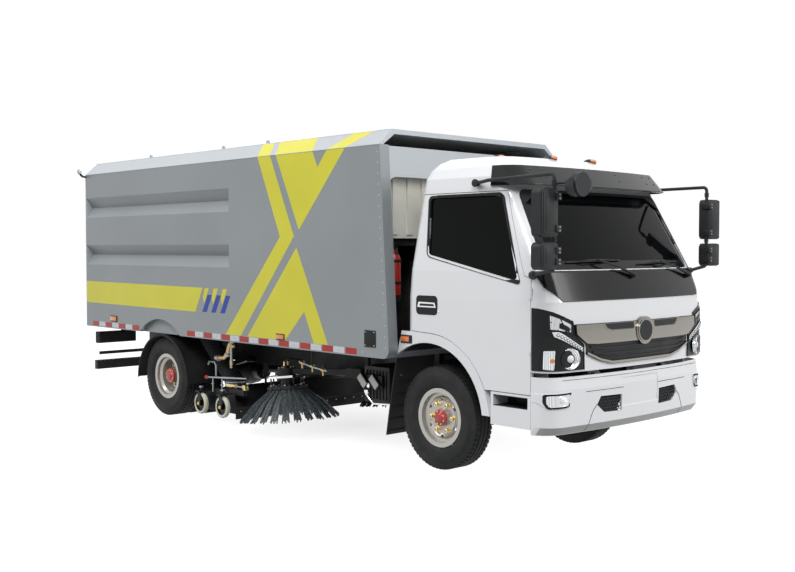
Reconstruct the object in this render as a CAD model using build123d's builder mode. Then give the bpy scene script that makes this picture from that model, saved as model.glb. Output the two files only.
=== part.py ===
from build123d import *
import os
from math import cos, hypot, radians, sin, sqrt

os.makedirs("parts", exist_ok=True)

# Street sweeper truck: a cab-over light truck that carries a closed sweeper body, two side
# brooms and a suction nozzle between its axles.  Millimetres, +X forward, +Y to the left,
# +Z up from the ground.  Stations along the truck are measured from the front axle.

# ---------------------------------------------------------------- driving dimensions
FRONT_REACH = 1440  # from the front axle to the foremost mirror
WHEELBASE = 3800
TYRE_R = 402.5
TYRE_W = 215
RIM_SEAT_R = 203
RIM_FLANGE_R = 230
RIM_W = 166
FRONT_TRACK = 1640
TWIN_TRACK = 1650
TWIN_SPACING = 243
STUD_COUNT = 6
STUD_CIRCLE_R = 111
VENT_COUNT = 6

RUN_GAP = 0.4      # radial gap between a shaft and the hub or eye that turns on it
SEAT_GAP = 0.3     # gap between two curved pieces that sit against each other
PANEL_GAP = 6      # gap round a door or a lid

KINGPIN_Y = 700
KINGPIN_R = 18
FIST_R = 40
FIST_H = 90
EAR_T = 26
STEER_ARM = 170
AXLE_BEAM_W = 76
AXLE_BEAM_DROP = 60
SPINDLE_R = 30
REAR_SHAFT_R = 40

RAIL_Y = 375       # outer face of a frame rail
RAIL_FLANGE = 65
RAIL_T = 7
RAIL_TOP = 740
RAIL_H = 200
RAIL_FRONT = 1110
RAIL_BACK = -5280

# sweeper body
BODY_BACK = -5384
BODY_HALF_W = 1108
BODY_FRONT_LOW = -350
BODY_FRONT_HIGH = -460
PANEL_BOTTOM = 842
SHOULDER_Z = 2536
ROOF_Z = 2666
ROOF_HALF_W = 963
PANEL_T = 100
ROOF_T = 40
GROOVE_DEPTH = 78
GROOVE_FRONT = -2550
FLOOR_T = 40
ARCH_CHORD = 785
ARCH_RISE = 148
ARCH_DEPTH = 50
BULKHEAD_X = -2500
BULKHEAD_T = 30
GATE_T = 60
RIB_PROUD = 14
OPENING_TOP = 2290
WALL_SETBACK = 60  # front wall behind the side panels' front edges

# cab
CAB_HALF_W = 1000
CAB_BOTTOM = 682
GUTTER_Z = 2160
CAB_ROOF_Z = 2400
CAB_WALL = 45
DOOR_T = 40
NOSE_SAG = 78
DOOR_FRONT = 985
DOOR_REAR = -212
DOOR_TOP = 2128
ARCH_X = -30
ARCH_Z = 420
ARCH_R = 568
FENDER_R = 640
GLASS_T = 5
CAB_FLOOR_Z = 848
CAB_FLOOR_T = 30
CAB_FLOOR_FRONT = 1112
NOSE_LIP_T = 22
TUNNEL_HALF_W = 360
TUNNEL_TOP = 1230
TILT_X = 1130
TILT_Z = 790
TILT_PIN_R = 14
TILT_EYE_R = 28
DOOR_HINGE_X = 988
DOOR_HINGE_R = 11
DOOR_HINGE_PIN_R = 5
DOOR_HINGE_H = 60
DOOR_HINGE_EAR = 10
DOOR_HINGES_Z = [1020, 1400]

# bumper
BUMPER_TOP = 815
BUMPER_BOTTOM = 405
BUMPER_NOSE = 1232
BUMPER_REAR = 990
BUMPER_T = 14

# sweeping gear, in its raised travelling position
BROOM_X = -2140
BROOM_Y = 740
BROOM_PLATE_Z = 400
BROOM_PLATE_R = 175
BROOM_TIP_R = 460
BROOM_DROP = 225
BROOM_TILT = 6
BROOM_TUFTS = 26
RING_R = 160
ARM_PIVOT_X = -1480
ARM_PIVOT_Y = 510
ARM_PIVOT_Z = 600
ARM_PIN_R = 14
POST_R = 24
NOZZLE_FRONT = -2760
NOZZLE_BACK = -3300
NOZZLE_HALF_W = 900
NOZZLE_BOTTOM = 112
NOZZLE_TOP = 330
CASTER_R = 105
CASTER_Z = 180
CASTER_Y = 985
CASTER_W = 44
CASTER_FRONT_X = -2850
CASTER_REAR_X = -3225
CASTER_PIN_R = 10
HOSE_LOW_X = -3000
LIFT_X = -3030
HOSE_R = 105
HOSE_Y = 790

# ---------------------------------------------------------------- worked-out values
FRONT_AXLE_X = (RIB_PROUD - BODY_BACK - FRONT_REACH) / 2
AXLE_Z = TYRE_R
REAR_AXLE_X = FRONT_AXLE_X - WHEELBASE
FRONT_WHEEL_Y = FRONT_TRACK / 2
TWIN_IN_Y = TWIN_TRACK / 2 - TWIN_SPACING / 2
TWIN_OUT_Y = TWIN_TRACK / 2 + TWIN_SPACING / 2
INNER_Y = BODY_HALF_W - PANEL_T
FLOOR_TOP = PANEL_BOTTOM + FLOOR_T
RAKE = (BODY_FRONT_HIGH - BODY_FRONT_LOW) / (SHOULDER_Z - PANEL_BOTTOM)

# planes: SIDE draws (ahead of the front axle, height), PLAN draws (ahead of it, left)
SIDE = Plane((FRONT_AXLE_X, 0, 0), x_dir=(1, 0, 0), z_dir=(0, -1, 0))
PLAN = Plane((FRONT_AXLE_X, 0, 0))


def face_on(station):
    """Plane across the truck at a station: draws (left, height), normal forward."""
    return Plane((FRONT_AXLE_X + station, 0, 0), x_dir=(0, 1, 0), z_dir=(1, 0, 0))


def side(y):
    """Plane along the truck at a distance left of its centre: draws (ahead, height)."""
    return SIDE.offset(-y)


def finish(builder, name):
    """Label one finished sub-part and write it."""
    builder.part.label = name
    export_step(builder.part, f"parts/{name}.step")


# ---------------------------------------------------------------- wheels
def tyre_profile(y, axle_x):
    """Section of a tyre whose middle plane is at y: beads, bulged walls, shoulders, crown."""
    half = TYRE_W / 2
    bulge = (RIM_SEAT_R + TYRE_R) / 2
    # across from the middle plane, radius
    wall = [
        (RIM_W / 2 - 12, RIM_SEAT_R),
        (RIM_W / 2 - 12, RIM_FLANGE_R + 3),
        (half - 3, bulge - 30),
        (half, bulge + 8),
        (half - 6, TYRE_R - 52),
        (half - 22, TYRE_R - 14),
        (half - 42, TYRE_R),
    ]
    near = [(y + across, radius) for across, radius in wall]
    far = [(y - across, radius) for across, radius in reversed(wall)]
    with BuildSketch(Plane((axle_x, 0, AXLE_Z), x_dir=(0, 1, 0), z_dir=(1, 0, 0))) as section:
        with BuildLine():
            Polyline(*near, *far, close=True)
        make_face()
    return section.sketch


def rim_profile(y, out, axle_x, hub_in, hub_out, hub_r, bore_r, disc_y):
    """Half section of a rim: drop-centre barrel, dished disc at disc_y and its hub.

    y is the middle plane, out is +1 or -1 for the side that faces outwards, and hub_in,
    hub_out and disc_y are measured outwards from the middle plane."""
    edge = RIM_W / 2
    seat = RIM_SEAT_R - SEAT_GAP

    def at(across, radius):
        return (y + out * across, radius)

    with BuildSketch(Plane((axle_x, 0, AXLE_Z), x_dir=(0, 1, 0), z_dir=(1, 0, 0))) as section:
        with BuildLine():
            Polyline(
                at(-edge, RIM_FLANGE_R),
                at(-edge + 10, RIM_FLANGE_R),
                at(-edge + 11.5, seat),
                at(-edge + 36, seat),
                at(-edge + 55, seat - 26),
                at(edge - 55, seat - 26),
                at(edge - 36, seat),
                at(edge - 11.5, seat),
                at(edge - 10, RIM_FLANGE_R),
                at(edge, RIM_FLANGE_R),
                at(edge - 2, seat - 8),
                at(edge - 42, seat - 13),
                at(disc_y + 6, 168),
                at(disc_y + 26, 150),
                at(disc_y + 10, 128),
                at(disc_y + 10, hub_r),
                at(hub_out, hub_r * 0.86),
                at(hub_out, 0),
                at(hub_out - 18, 0),
                at(hub_out - 18, bore_r),
                at(hub_in, bore_r),
                at(hub_in, hub_r),
                at(disc_y - 4, hub_r),
                at(disc_y - 4, 134),
                at(disc_y + 12, 152),
                at(disc_y - 8, 164),
                at(disc_y - 30, seat - 36),
                at(-edge + 50, seat - 36),
                at(-edge + 30, seat - 13),
                at(-edge + 2, seat - 8),
                close=True,
            )
        make_face()
    return section.sketch


def wheel_axis(axle_x):
    return Axis((axle_x, 0, AXLE_Z), (0, 1, 0))


def disc_plane(y, out, axle_x):
    """Plane on a wheel disc, looking outwards."""
    return Plane((axle_x, y, AXLE_Z), x_dir=(1, 0, 0), z_dir=(0, out, 0))


# hub sizes: (hub_in, hub_out, hub_r, bore_r, disc_y) across one rim
HUB_R = 72
DISC_Y = 28
FRONT_HUB_OUT = 70
REAR_HUB_OUT = 66

# name, side of the truck
SIDES = [("R", -1), ("L", 1)]

for letter, out in SIDES:
    y = out * FRONT_WHEEL_Y
    with BuildPart() as tyre_front:
        revolve(tyre_profile(y, FRONT_AXLE_X), axis=wheel_axis(FRONT_AXLE_X))
    finish(tyre_front, f"tyre_F{letter}")

    with BuildPart() as rim_front:
        section = rim_profile(
            y, out, FRONT_AXLE_X, -40, FRONT_HUB_OUT, HUB_R, SPINDLE_R + RUN_GAP, DISC_Y
        )
        revolve(section, axis=wheel_axis(FRONT_AXLE_X))
        with BuildSketch(disc_plane(y + out * DISC_Y, out, FRONT_AXLE_X)):
            with PolarLocations(151, VENT_COUNT, start_angle=30):
                Circle(15)
        extrude(amount=60, both=True, mode=Mode.SUBTRACT)
        with BuildSketch(disc_plane(y + out * (DISC_Y + 9), out, FRONT_AXLE_X)):
            with PolarLocations(STUD_CIRCLE_R, STUD_COUNT):
                RegularPolygon(16, 6)
        extrude(amount=22)
    finish(rim_front, f"rim_F{letter}")

    inner = out * TWIN_IN_Y
    outer = out * TWIN_OUT_Y
    with BuildPart() as tyres_rear:
        revolve(tyre_profile(inner, REAR_AXLE_X), axis=wheel_axis(REAR_AXLE_X))
        revolve(tyre_profile(outer, REAR_AXLE_X), axis=wheel_axis(REAR_AXLE_X))
    finish(tyres_rear, f"tyres_R{letter}")

    # twin rims: the discs lie back to back midway between the two tyres
    with BuildPart() as rims_rear:
        mid_in = TWIN_SPACING / 2 - 14
        outer_rim = rim_profile(
            outer, -out, REAR_AXLE_X, -10, mid_in - 4, HUB_R, REAR_SHAFT_R + RUN_GAP, 70
        )
        revolve(outer_rim, axis=wheel_axis(REAR_AXLE_X))
        inner_rim = rim_profile(
            inner, out, REAR_AXLE_X, -10, mid_in - 4, HUB_R, REAR_SHAFT_R + RUN_GAP, 70
        )
        revolve(inner_rim, axis=wheel_axis(REAR_AXLE_X))
        with BuildSketch(disc_plane(inner - out * 20, out, REAR_AXLE_X)):
            Circle(HUB_R)
        extrude(amount=TWIN_SPACING + 60)
        with BuildSketch(disc_plane(inner - out * 20, out, REAR_AXLE_X)):
            Circle(REAR_SHAFT_R + RUN_GAP)
        extrude(amount=TWIN_SPACING + 30, mode=Mode.SUBTRACT)
        with BuildSketch(disc_plane(outer - out * TWIN_SPACING / 2, out, REAR_AXLE_X)):
            with PolarLocations(STUD_CIRCLE_R, STUD_COUNT):
                RegularPolygon(16, 6)
        extrude(amount=90)
    finish(rims_rear, f"rims_R{letter}")

# ---------------------------------------------------------------- axles and steering
SPRING_W = 70
SPRING_T = 52
REAR_SPRING_Y = RAIL_Y + SPRING_W / 2 + 12
REAR_SPRING_PAD = 63
BEAM_TOP = AXLE_Z + 30
AXLE_NOSE = 270     # from the rear axle to the flange of its final drive
ENGINE_BACK = -300  # back face of the gearbox

with BuildPart() as front_axle:
    # dropped I-beam: deep web between two spring pads, rising to the kingpin fists
    with BuildSketch(face_on(0)):
        with BuildLine():
            Polyline(
                (-KINGPIN_Y, AXLE_Z + 32),
                (-KINGPIN_Y + 110, AXLE_Z + 26),
                (-KINGPIN_Y + 210, BEAM_TOP - AXLE_BEAM_DROP),
                (KINGPIN_Y - 210, BEAM_TOP - AXLE_BEAM_DROP),
                (KINGPIN_Y - 110, AXLE_Z + 26),
                (KINGPIN_Y, AXLE_Z + 32),
                (KINGPIN_Y, AXLE_Z - 32),
                (KINGPIN_Y - 120, AXLE_Z - 44),
                (KINGPIN_Y - 220, BEAM_TOP - AXLE_BEAM_DROP - 88),
                (-KINGPIN_Y + 220, BEAM_TOP - AXLE_BEAM_DROP - 88),
                (-KINGPIN_Y + 120, AXLE_Z - 44),
                (-KINGPIN_Y, AXLE_Z - 32),
                close=True,
            )
        make_face()
    extrude(amount=AXLE_BEAM_W / 2, both=True)
    for face in (-1, 1):
        with BuildSketch(face_on(face * AXLE_BEAM_W / 2)):
            with Locations((0, BEAM_TOP - AXLE_BEAM_DROP - 44)):
                Rectangle(2 * KINGPIN_Y - 460, 52)
        extrude(amount=-face * 26, mode=Mode.SUBTRACT)
    with BuildSketch(PLAN.offset(AXLE_Z)):
        with Locations((0, -KINGPIN_Y), (0, KINGPIN_Y)):
            Circle(FIST_R)
    extrude(amount=FIST_H / 2, both=True)
    with BuildSketch(PLAN.offset(AXLE_Z)):
        with Locations((0, -KINGPIN_Y), (0, KINGPIN_Y)):
            Circle(KINGPIN_R + RUN_GAP)
    extrude(amount=FIST_H, both=True, mode=Mode.SUBTRACT)
finish(front_axle, "front_axle")

ARM_TOP = AXLE_Z - FIST_H / 2 - SEAT_GAP
ARM_END_Y = KINGPIN_Y - 30

for letter, out in SIDES:
    with BuildPart() as knuckle:
        # two ears joined by an upright outside the fist, and the pin through all three
        for lift in (1, -1):
            ear_z = AXLE_Z + lift * (FIST_H / 2 + SEAT_GAP)
            with BuildSketch(PLAN.offset(ear_z)):
                with Locations((0, out * KINGPIN_Y)):
                    Circle(FIST_R)
                with Locations((0, out * (KINGPIN_Y + 30))):
                    Rectangle(2 * FIST_R, 60)
            extrude(amount=lift * EAR_T)
        with BuildSketch(side(out * (KINGPIN_Y + FIST_R + 2))):
            with Locations((0, AXLE_Z)):
                Rectangle(2 * FIST_R, FIST_H + 2 * EAR_T + 2 * SEAT_GAP)
        extrude(amount=-out * 18)
        with BuildSketch(PLAN.offset(AXLE_Z)):
            with Locations((0, out * KINGPIN_Y)):
                Circle(KINGPIN_R)
        extrude(amount=FIST_H / 2 + EAR_T, both=True)
        with BuildSketch(side(out * (KINGPIN_Y + FIST_R + 10))):
            with Locations((0, AXLE_Z)):
                Circle(SPINDLE_R)
        extrude(amount=-out * (FRONT_WHEEL_Y - KINGPIN_Y - FIST_R - 10 + 46))
        # steering arm, running back and in from the lower ear
        with BuildSketch(PLAN.offset(ARM_TOP)):
            with BuildLine():
                Polyline(
                    (20, out * (KINGPIN_Y + 24)),
                    (-STEER_ARM, out * (ARM_END_Y + 22)),
                    (-STEER_ARM, out * (ARM_END_Y - 22)),
                    (20, out * (KINGPIN_Y - 24)),
                    close=True,
                )
            make_face()
            with Locations((-STEER_ARM, out * ARM_END_Y)):
                Circle(22)
        extrude(amount=-EAR_T)
    finish(knuckle, f"knuckle_{letter}")

with BuildPart() as tie_rod:
    # hangs just under the two arms; its eyes lie a running gap below them
    eye_top = ARM_TOP - EAR_T - SEAT_GAP
    with BuildSketch(PLAN.offset(eye_top)):
        with Locations((-STEER_ARM, -ARM_END_Y), (-STEER_ARM, ARM_END_Y)):
            Circle(20)
    extrude(amount=-24)
    with BuildSketch(side(0)):
        with Locations((-STEER_ARM, eye_top - 12)):
            Circle(11)
    extrude(amount=ARM_END_Y, both=True)
finish(tie_rod, "tie_rod")

with BuildPart() as rear_axle:
    # banjo housing: tube, round differential bulge and stub shafts into the twin wheels
    with BuildSketch(Plane((REAR_AXLE_X, 0, AXLE_Z), x_dir=(0, 1, 0), z_dir=(1, 0, 0))):
        with BuildLine():
            Polyline(
                (0, 0),
                (0, 172),
                (90, 160),
                (190, 78),
                (250, 61),
                (TWIN_IN_Y - 150, 61),
                (TWIN_IN_Y - 146, 150),
                (TWIN_IN_Y - 96, 150),
                (TWIN_IN_Y - 92, 60),
                (TWIN_IN_Y - 40, 60),
                (TWIN_IN_Y - 40, REAR_SHAFT_R),
                (TWIN_OUT_Y - 10, REAR_SHAFT_R),
                (TWIN_OUT_Y - 10, 0),
                close=True,
            )
        make_face()
    revolve(axis=wheel_axis(REAR_AXLE_X))
    mirror(about=Plane.XZ)
    with BuildSketch(face_on(-WHEELBASE)):
        with Locations((0, AXLE_Z)):
            Circle(96)
    extrude(amount=AXLE_NOSE)
    with BuildSketch(PLAN.offset(AXLE_Z)):
        with Locations((-WHEELBASE, -REAR_SPRING_Y), (-WHEELBASE, REAR_SPRING_Y)):
            Rectangle(110, SPRING_W)
    extrude(amount=REAR_SPRING_PAD)
finish(rear_axle, "rear_axle")

# ---------------------------------------------------------------- frame
FRONT_PAD_Z = BEAM_TOP - AXLE_BEAM_DROP
FRONT_SPRING_RISE = RAIL_TOP - RAIL_H - FRONT_PAD_Z - SPRING_T / 2
# axle station, pad height, half length, rise of the ends, distance from the centre line
SPRINGS = [
    (0, FRONT_PAD_Z, 560, FRONT_SPRING_RISE, RAIL_Y - SPRING_W / 2),
    (-WHEELBASE, AXLE_Z + REAR_SPRING_PAD, 620, 110, REAR_SPRING_Y),
]

with BuildPart() as frame_rails:
    for out in (-1, 1):
        with BuildSketch(face_on(RAIL_BACK)):
            with Locations((out * (RAIL_Y - RAIL_FLANGE / 2), RAIL_TOP - RAIL_H / 2)):
                Rectangle(RAIL_FLANGE, RAIL_H)
            with Locations((out * (RAIL_Y - RAIL_FLANGE / 2 - RAIL_T), RAIL_TOP - RAIL_H / 2)):
                Rectangle(RAIL_FLANGE, RAIL_H - 2 * RAIL_T, mode=Mode.SUBTRACT)
        extrude(amount=RAIL_FRONT - RAIL_BACK)
finish(frame_rails, "frame_rails")

CROSS_STATIONS = [1040, -900, -1900, -2900, -4500, -5220]
with BuildPart() as crossmembers:
    for station in CROSS_STATIONS:
        with BuildSketch(side(0)):
            with Locations((station, RAIL_TOP - RAIL_H / 2)):
                Rectangle(70, 130)
            with Locations((station - 8, RAIL_TOP - RAIL_H / 2)):
                Rectangle(70, 116, mode=Mode.SUBTRACT)
        extrude(amount=RAIL_Y - RAIL_T, both=True)
    # sub-frame bearers that the sweeper body stands on
    for out in (-1, 1):
        with BuildSketch(face_on(RAIL_BACK)):
            with Locations((out * (RAIL_Y - RAIL_FLANGE / 2), (RAIL_TOP + PANEL_BOTTOM) / 2)):
                Rectangle(RAIL_FLANGE, PANEL_BOTTOM - RAIL_TOP)
        extrude(amount=-520 - RAIL_BACK)
    # cross tube behind the bumper, the horns that carry it and the cab's tilt brackets
    beam_half = 560
    beam_front = RAIL_FRONT + 50
    with BuildSketch(side(0)):
        with Locations((RAIL_FRONT + 25, RAIL_TOP - RAIL_H / 2)):
            Rectangle(50, 120)
    extrude(amount=beam_half, both=True)
    for out in (-1, 1):
        for cheek in (-1, 1):
            with BuildSketch(side(out * 430 + cheek * 34)):
                with Locations((TILT_X, TILT_Z)):
                    Circle(TILT_EYE_R)
                with Locations((TILT_X, (TILT_Z + RAIL_TOP - 60) / 2)):
                    Rectangle(2 * TILT_EYE_R, TILT_Z - RAIL_TOP + 60)
            extrude(amount=-cheek * 12)
        with BuildSketch(side(out * 430)):
            with Locations((TILT_X, TILT_Z)):
                Circle(TILT_PIN_R)
        extrude(amount=46, both=True)
        pad_sag = NOSE_SAG * (beam_half / CAB_HALF_W) ** 2
        with BuildSketch(face_on(beam_front)):
            with Locations((out * (beam_half - 40), RAIL_TOP - RAIL_H / 2)):
                Rectangle(80, 80)
        extrude(amount=BUMPER_NOSE - BUMPER_T - pad_sag - beam_front - 4)
finish(crossmembers, "crossmembers")

with BuildPart() as leaf_springs:
    for station, pad, half_len, rise, spring_y in SPRINGS:
        for out in (-1, 1):
            with BuildSketch(side(out * spring_y)):
                with BuildLine():
                    ThreePointArc(
                        (station - half_len, pad + rise),
                        (station, pad),
                        (station + half_len, pad + rise),
                    )
                    Line(
                        (station + half_len, pad + rise),
                        (station + half_len, pad + rise + SPRING_T / 2),
                    )
                    ThreePointArc(
                        (station + half_len, pad + rise + SPRING_T / 2),
                        (station, pad + SPRING_T),
                        (station - half_len, pad + rise + SPRING_T / 2),
                    )
                    Line(
                        (station - half_len, pad + rise + SPRING_T / 2),
                        (station - half_len, pad + rise),
                    )
                make_face()
            extrude(amount=SPRING_W / 2, both=True)
            # clamp block between the spring and its axle
            with BuildSketch(side(out * spring_y)):
                with Locations((station, pad + SPRING_T / 2 + 6)):
                    Rectangle(110, SPRING_T + 12)
            extrude(amount=SPRING_W / 2, both=True)
            # spring eyes, pinned to the frame
            if spring_y > RAIL_Y:
                with BuildSketch(side(out * RAIL_Y)):
                    with Locations((station - half_len, pad + rise), (station + half_len, pad + rise)):
                        Circle(24)
                extrude(amount=-out * (spring_y + SPRING_W / 2 - RAIL_Y))
finish(leaf_springs, "leaf_springs")

# ---------------------------------------------------------------- sweeper body
def body_outline(low, high, front_inset=0, corner=0):
    """Side outline of the body between two heights, with its raked front edge."""
    with BuildSketch(side(0)) as outline:
        with BuildLine():
            Polyline(
                (BODY_BACK, low),
                (BODY_FRONT_LOW + RAKE * (low - PANEL_BOTTOM) - front_inset, low),
                (BODY_FRONT_LOW + RAKE * (high - PANEL_BOTTOM) - front_inset, high),
                (BODY_BACK, high),
                close=True,
            )
        make_face()
        if corner:
            low_front = outline.vertices().sort_by(Axis((0, 0, 0), (1, 0, -1)))[-1]
            fillet(low_front, corner)
    return outline.sketch


# top, valley and bottom heights of the two long folded grooves
GROOVES = [(2276, 2165, 2055), (1751, 1645, 1533)]

for letter, out in SIDES:
    with BuildPart() as side_panel:
        extrude(body_outline(PANEL_BOTTOM, SHOULDER_Z, corner=70), amount=-out * BODY_HALF_W)
        extrude(
            body_outline(PANEL_BOTTOM - 10, SHOULDER_Z + 10, front_inset=-20),
            amount=-out * INNER_Y,
            mode=Mode.SUBTRACT,
        )
        for top, valley, bottom in GROOVES:
            with BuildSketch(face_on(BODY_BACK - 5)):
                with BuildLine():
                    Polyline(
                        (out * (BODY_HALF_W + 1), top),
                        (out * (BODY_HALF_W - GROOVE_DEPTH), valley),
                        (out * (BODY_HALF_W + 1), bottom),
                        close=True,
                    )
                make_face()
            extrude(amount=GROOVE_FRONT - BODY_BACK + 5, mode=Mode.SUBTRACT)
        # cut-out over the rear wheels, through the outer skin
        with BuildSketch(side(out * (BODY_HALF_W - ARCH_DEPTH))):
            with BuildLine():
                ThreePointArc(
                    (-WHEELBASE - ARCH_CHORD / 2 - 10, PANEL_BOTTOM),
                    (-WHEELBASE - 10, PANEL_BOTTOM + ARCH_RISE),
                    (-WHEELBASE + ARCH_CHORD / 2 - 10, PANEL_BOTTOM),
                )
                Polyline(
                    (-WHEELBASE + ARCH_CHORD / 2 - 10, PANEL_BOTTOM),
                    (-WHEELBASE + ARCH_CHORD / 2 - 10, PANEL_BOTTOM - 20),
                    (-WHEELBASE - ARCH_CHORD / 2 - 10, PANEL_BOTTOM - 20),
                    (-WHEELBASE - ARCH_CHORD / 2 - 10, PANEL_BOTTOM),
                )
            make_face()
        extrude(amount=-out * (ARCH_DEPTH + 10), mode=Mode.SUBTRACT)
    finish(side_panel, f"side_panel_{letter}")

GATE_HINGE_Z = 2545
GATE_HINGE_R = 16
GATE_PIN_R = 9
GATE_HINGES_Y = [-720, 0, 720]
EYE_RISE = 16
EYE_BORE_R = 11
EYE_T = 12

with BuildPart() as body_roof:
    # flat top folded down to the shoulders on both sides
    fold = ROOF_T / 2
    with BuildSketch(face_on(BODY_BACK)):
        with BuildLine():
            Polyline(
                (-BODY_HALF_W, SHOULDER_Z),
                (-ROOF_HALF_W, ROOF_Z),
                (ROOF_HALF_W, ROOF_Z),
                (BODY_HALF_W, SHOULDER_Z),
                (BODY_HALF_W - ROOF_T, SHOULDER_Z),
                (ROOF_HALF_W - fold, ROOF_Z - ROOF_T),
                (-ROOF_HALF_W + fold, ROOF_Z - ROOF_T),
                (-BODY_HALF_W + ROOF_T, SHOULDER_Z),
                close=True,
            )
        make_face()
    extrude(amount=BODY_FRONT_LOW - BODY_BACK)
    extrude(body_outline(SHOULDER_Z, ROOF_Z), amount=BODY_HALF_W + 5, both=True, mode=Mode.INTERSECT)
    # header over the tailgate, with a pair of ears at each hinge
    with BuildSketch(side(0)):
        with Locations((BODY_BACK + 45, (ROOF_Z - ROOF_T + GATE_HINGE_Z + 24) / 2)):
            Rectangle(50, ROOF_Z - ROOF_T - GATE_HINGE_Z - 24)
    extrude(amount=ROOF_HALF_W - 60, both=True)
    for hinge_y in GATE_HINGES_Y:
        for ear in (-1, 1):
            with BuildSketch(side(hinge_y + ear * 40)):
                with Locations((BODY_BACK + 20, GATE_HINGE_Z)):
                    Circle(GATE_HINGE_R)
                with Locations((BODY_BACK + 34, GATE_HINGE_Z + 16)):
                    Rectangle(30, 32)
            extrude(amount=-ear * 16)
        with BuildSketch(side(hinge_y)):
            with Locations((BODY_BACK + 20, GATE_HINGE_Z)):
                Circle(GATE_PIN_R)
        extrude(amount=45, both=True)
    # lifting eyes near the edges of the roof
    for eye in (-4260, -2900, -2180):
        for out in (-1, 1):
            with BuildSketch(side(out * (ROOF_HALF_W - 40))):
                with Locations((eye, ROOF_Z + EYE_RISE)):
                    Circle(2 * EYE_BORE_R)
                    Circle(EYE_BORE_R, mode=Mode.SUBTRACT)
                with Locations((eye, ROOF_Z + 1)):
                    Rectangle(60, 6)
            extrude(amount=EYE_T / 2, both=True)
finish(body_roof, "body_roof")

with BuildPart() as body_walls:
    # raked front wall with its wide opening
    with BuildSketch(face_on(BODY_FRONT_HIGH)):
        with Locations((0, (PANEL_BOTTOM + SHOULDER_Z) / 2)):
            Rectangle(2 * INNER_Y, SHOULDER_Z - PANEL_BOTTOM)
        with Locations((0, (FLOOR_TOP + OPENING_TOP) / 2)):
            RectangleRounded(
                2 * INNER_Y - 60, OPENING_TOP - FLOOR_TOP, 100, mode=Mode.SUBTRACT
            )
    extrude(amount=300, both=True)
    extrude(
        body_outline(PANEL_BOTTOM, SHOULDER_Z, front_inset=WALL_SETBACK),
        amount=INNER_Y,
        both=True,
        mode=Mode.INTERSECT,
    )
    extrude(
        body_outline(PANEL_BOTTOM - 10, SHOULDER_Z + 10, front_inset=WALL_SETBACK + ROOF_T),
        amount=INNER_Y + 10,
        both=True,
        mode=Mode.SUBTRACT,
    )
    # upright bulkhead ahead of the hopper, with the screened air outlet near its top
    with BuildSketch(face_on(BULKHEAD_X)):
        with Locations((0, (FLOOR_TOP + SHOULDER_Z) / 2)):
            Rectangle(2 * INNER_Y, SHOULDER_Z - FLOOR_TOP)
        with Locations((0, 2200)):
            RectangleRounded(1100, 360, 60, mode=Mode.SUBTRACT)
    extrude(amount=-BULKHEAD_T)
finish(body_walls, "body_walls")

TANK_BOTTOM = 1797
TANK_TOP = 2440
TANK_FRONT = -590
TANK_BACK = -1500
TANK_RIBS = 5
TANK_RIB_STEP = 165
TANK_RIB_W = 60
TANK_RIB_PROUD = 12
HOSE_TOP_X = -3420
with BuildPart() as body_floor:
    floor_front = BODY_FRONT_LOW - WALL_SETBACK - ROOF_T - 5
    with BuildSketch(PLAN.offset(PANEL_BOTTOM)):
        with Locations(((floor_front + BODY_BACK + GATE_T + PANEL_GAP) / 2, 0)):
            Rectangle(floor_front - BODY_BACK - GATE_T - PANEL_GAP, 2 * INNER_Y)
        with Locations((HOSE_TOP_X, -HOSE_Y)):
            Circle(HOSE_R + 8, mode=Mode.SUBTRACT)
    extrude(amount=FLOOR_T)
    # four-legged stand under the water tank
    for stand_x in (TANK_FRONT - 60, TANK_BACK + 60):
        for out in (-1, 1):
            with BuildSketch(PLAN.offset(FLOOR_TOP)):
                with Locations((stand_x, out * (INNER_Y - 90))):
                    Rectangle(60, 60)
            extrude(amount=TANK_BOTTOM - FLOOR_TOP - 60)
    with BuildSketch(PLAN.offset(TANK_BOTTOM - 60)):
        for out in (-1, 1):
            with Locations(((TANK_FRONT + TANK_BACK) / 2, out * (INNER_Y - 90))):
                Rectangle(TANK_FRONT - TANK_BACK - 40, 60)
        for stand_x in (TANK_FRONT - 60, TANK_BACK + 60):
            with Locations((stand_x, 0)):
                Rectangle(60, 2 * INNER_Y - 180)
    extrude(amount=60)
finish(body_floor, "body_floor")

with BuildPart() as tailgate:
    gate_low = PANEL_BOTTOM + 12
    gate_high = GATE_HINGE_Z - GATE_HINGE_R - 8
    with BuildSketch(face_on(BODY_BACK)):
        with Locations((0, (gate_low + gate_high) / 2)):
            Rectangle(2 * (INNER_Y - PANEL_GAP), gate_high - gate_low)
    extrude(amount=GATE_T)
    # pressed ribs on the outside
    with BuildSketch(face_on(BODY_BACK)):
        for rib_z in (1150, 1550, 1950, 2350):
            with Locations((0, rib_z)):
                Rectangle(2 * INNER_Y - 160, 70)
    extrude(amount=-RIB_PROUD)
    # upright stiles beside the ribs, and a lock block low on each
    with BuildSketch(face_on(BODY_BACK)):
        for out in (-1, 1):
            with Locations((out * (INNER_Y - 50), (gate_low + gate_high) / 2)):
                Rectangle(60, gate_high - gate_low - 40)
    extrude(amount=-RIB_PROUD)
    # hinge straps that reach up round the pins
    for hinge_y in GATE_HINGES_Y:
        with BuildSketch(side(hinge_y)):
            with Locations((BODY_BACK + 20, GATE_HINGE_Z)):
                Circle(GATE_HINGE_R)
            with Locations((BODY_BACK + 16, (GATE_HINGE_Z + gate_high - 40) / 2)):
                Rectangle(24, GATE_HINGE_Z - gate_high + 40)
            with Locations((BODY_BACK + 20, GATE_HINGE_Z)):
                Circle(GATE_PIN_R + RUN_GAP, mode=Mode.SUBTRACT)
        extrude(amount=20, both=True)
finish(tailgate, "tailgate")

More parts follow.
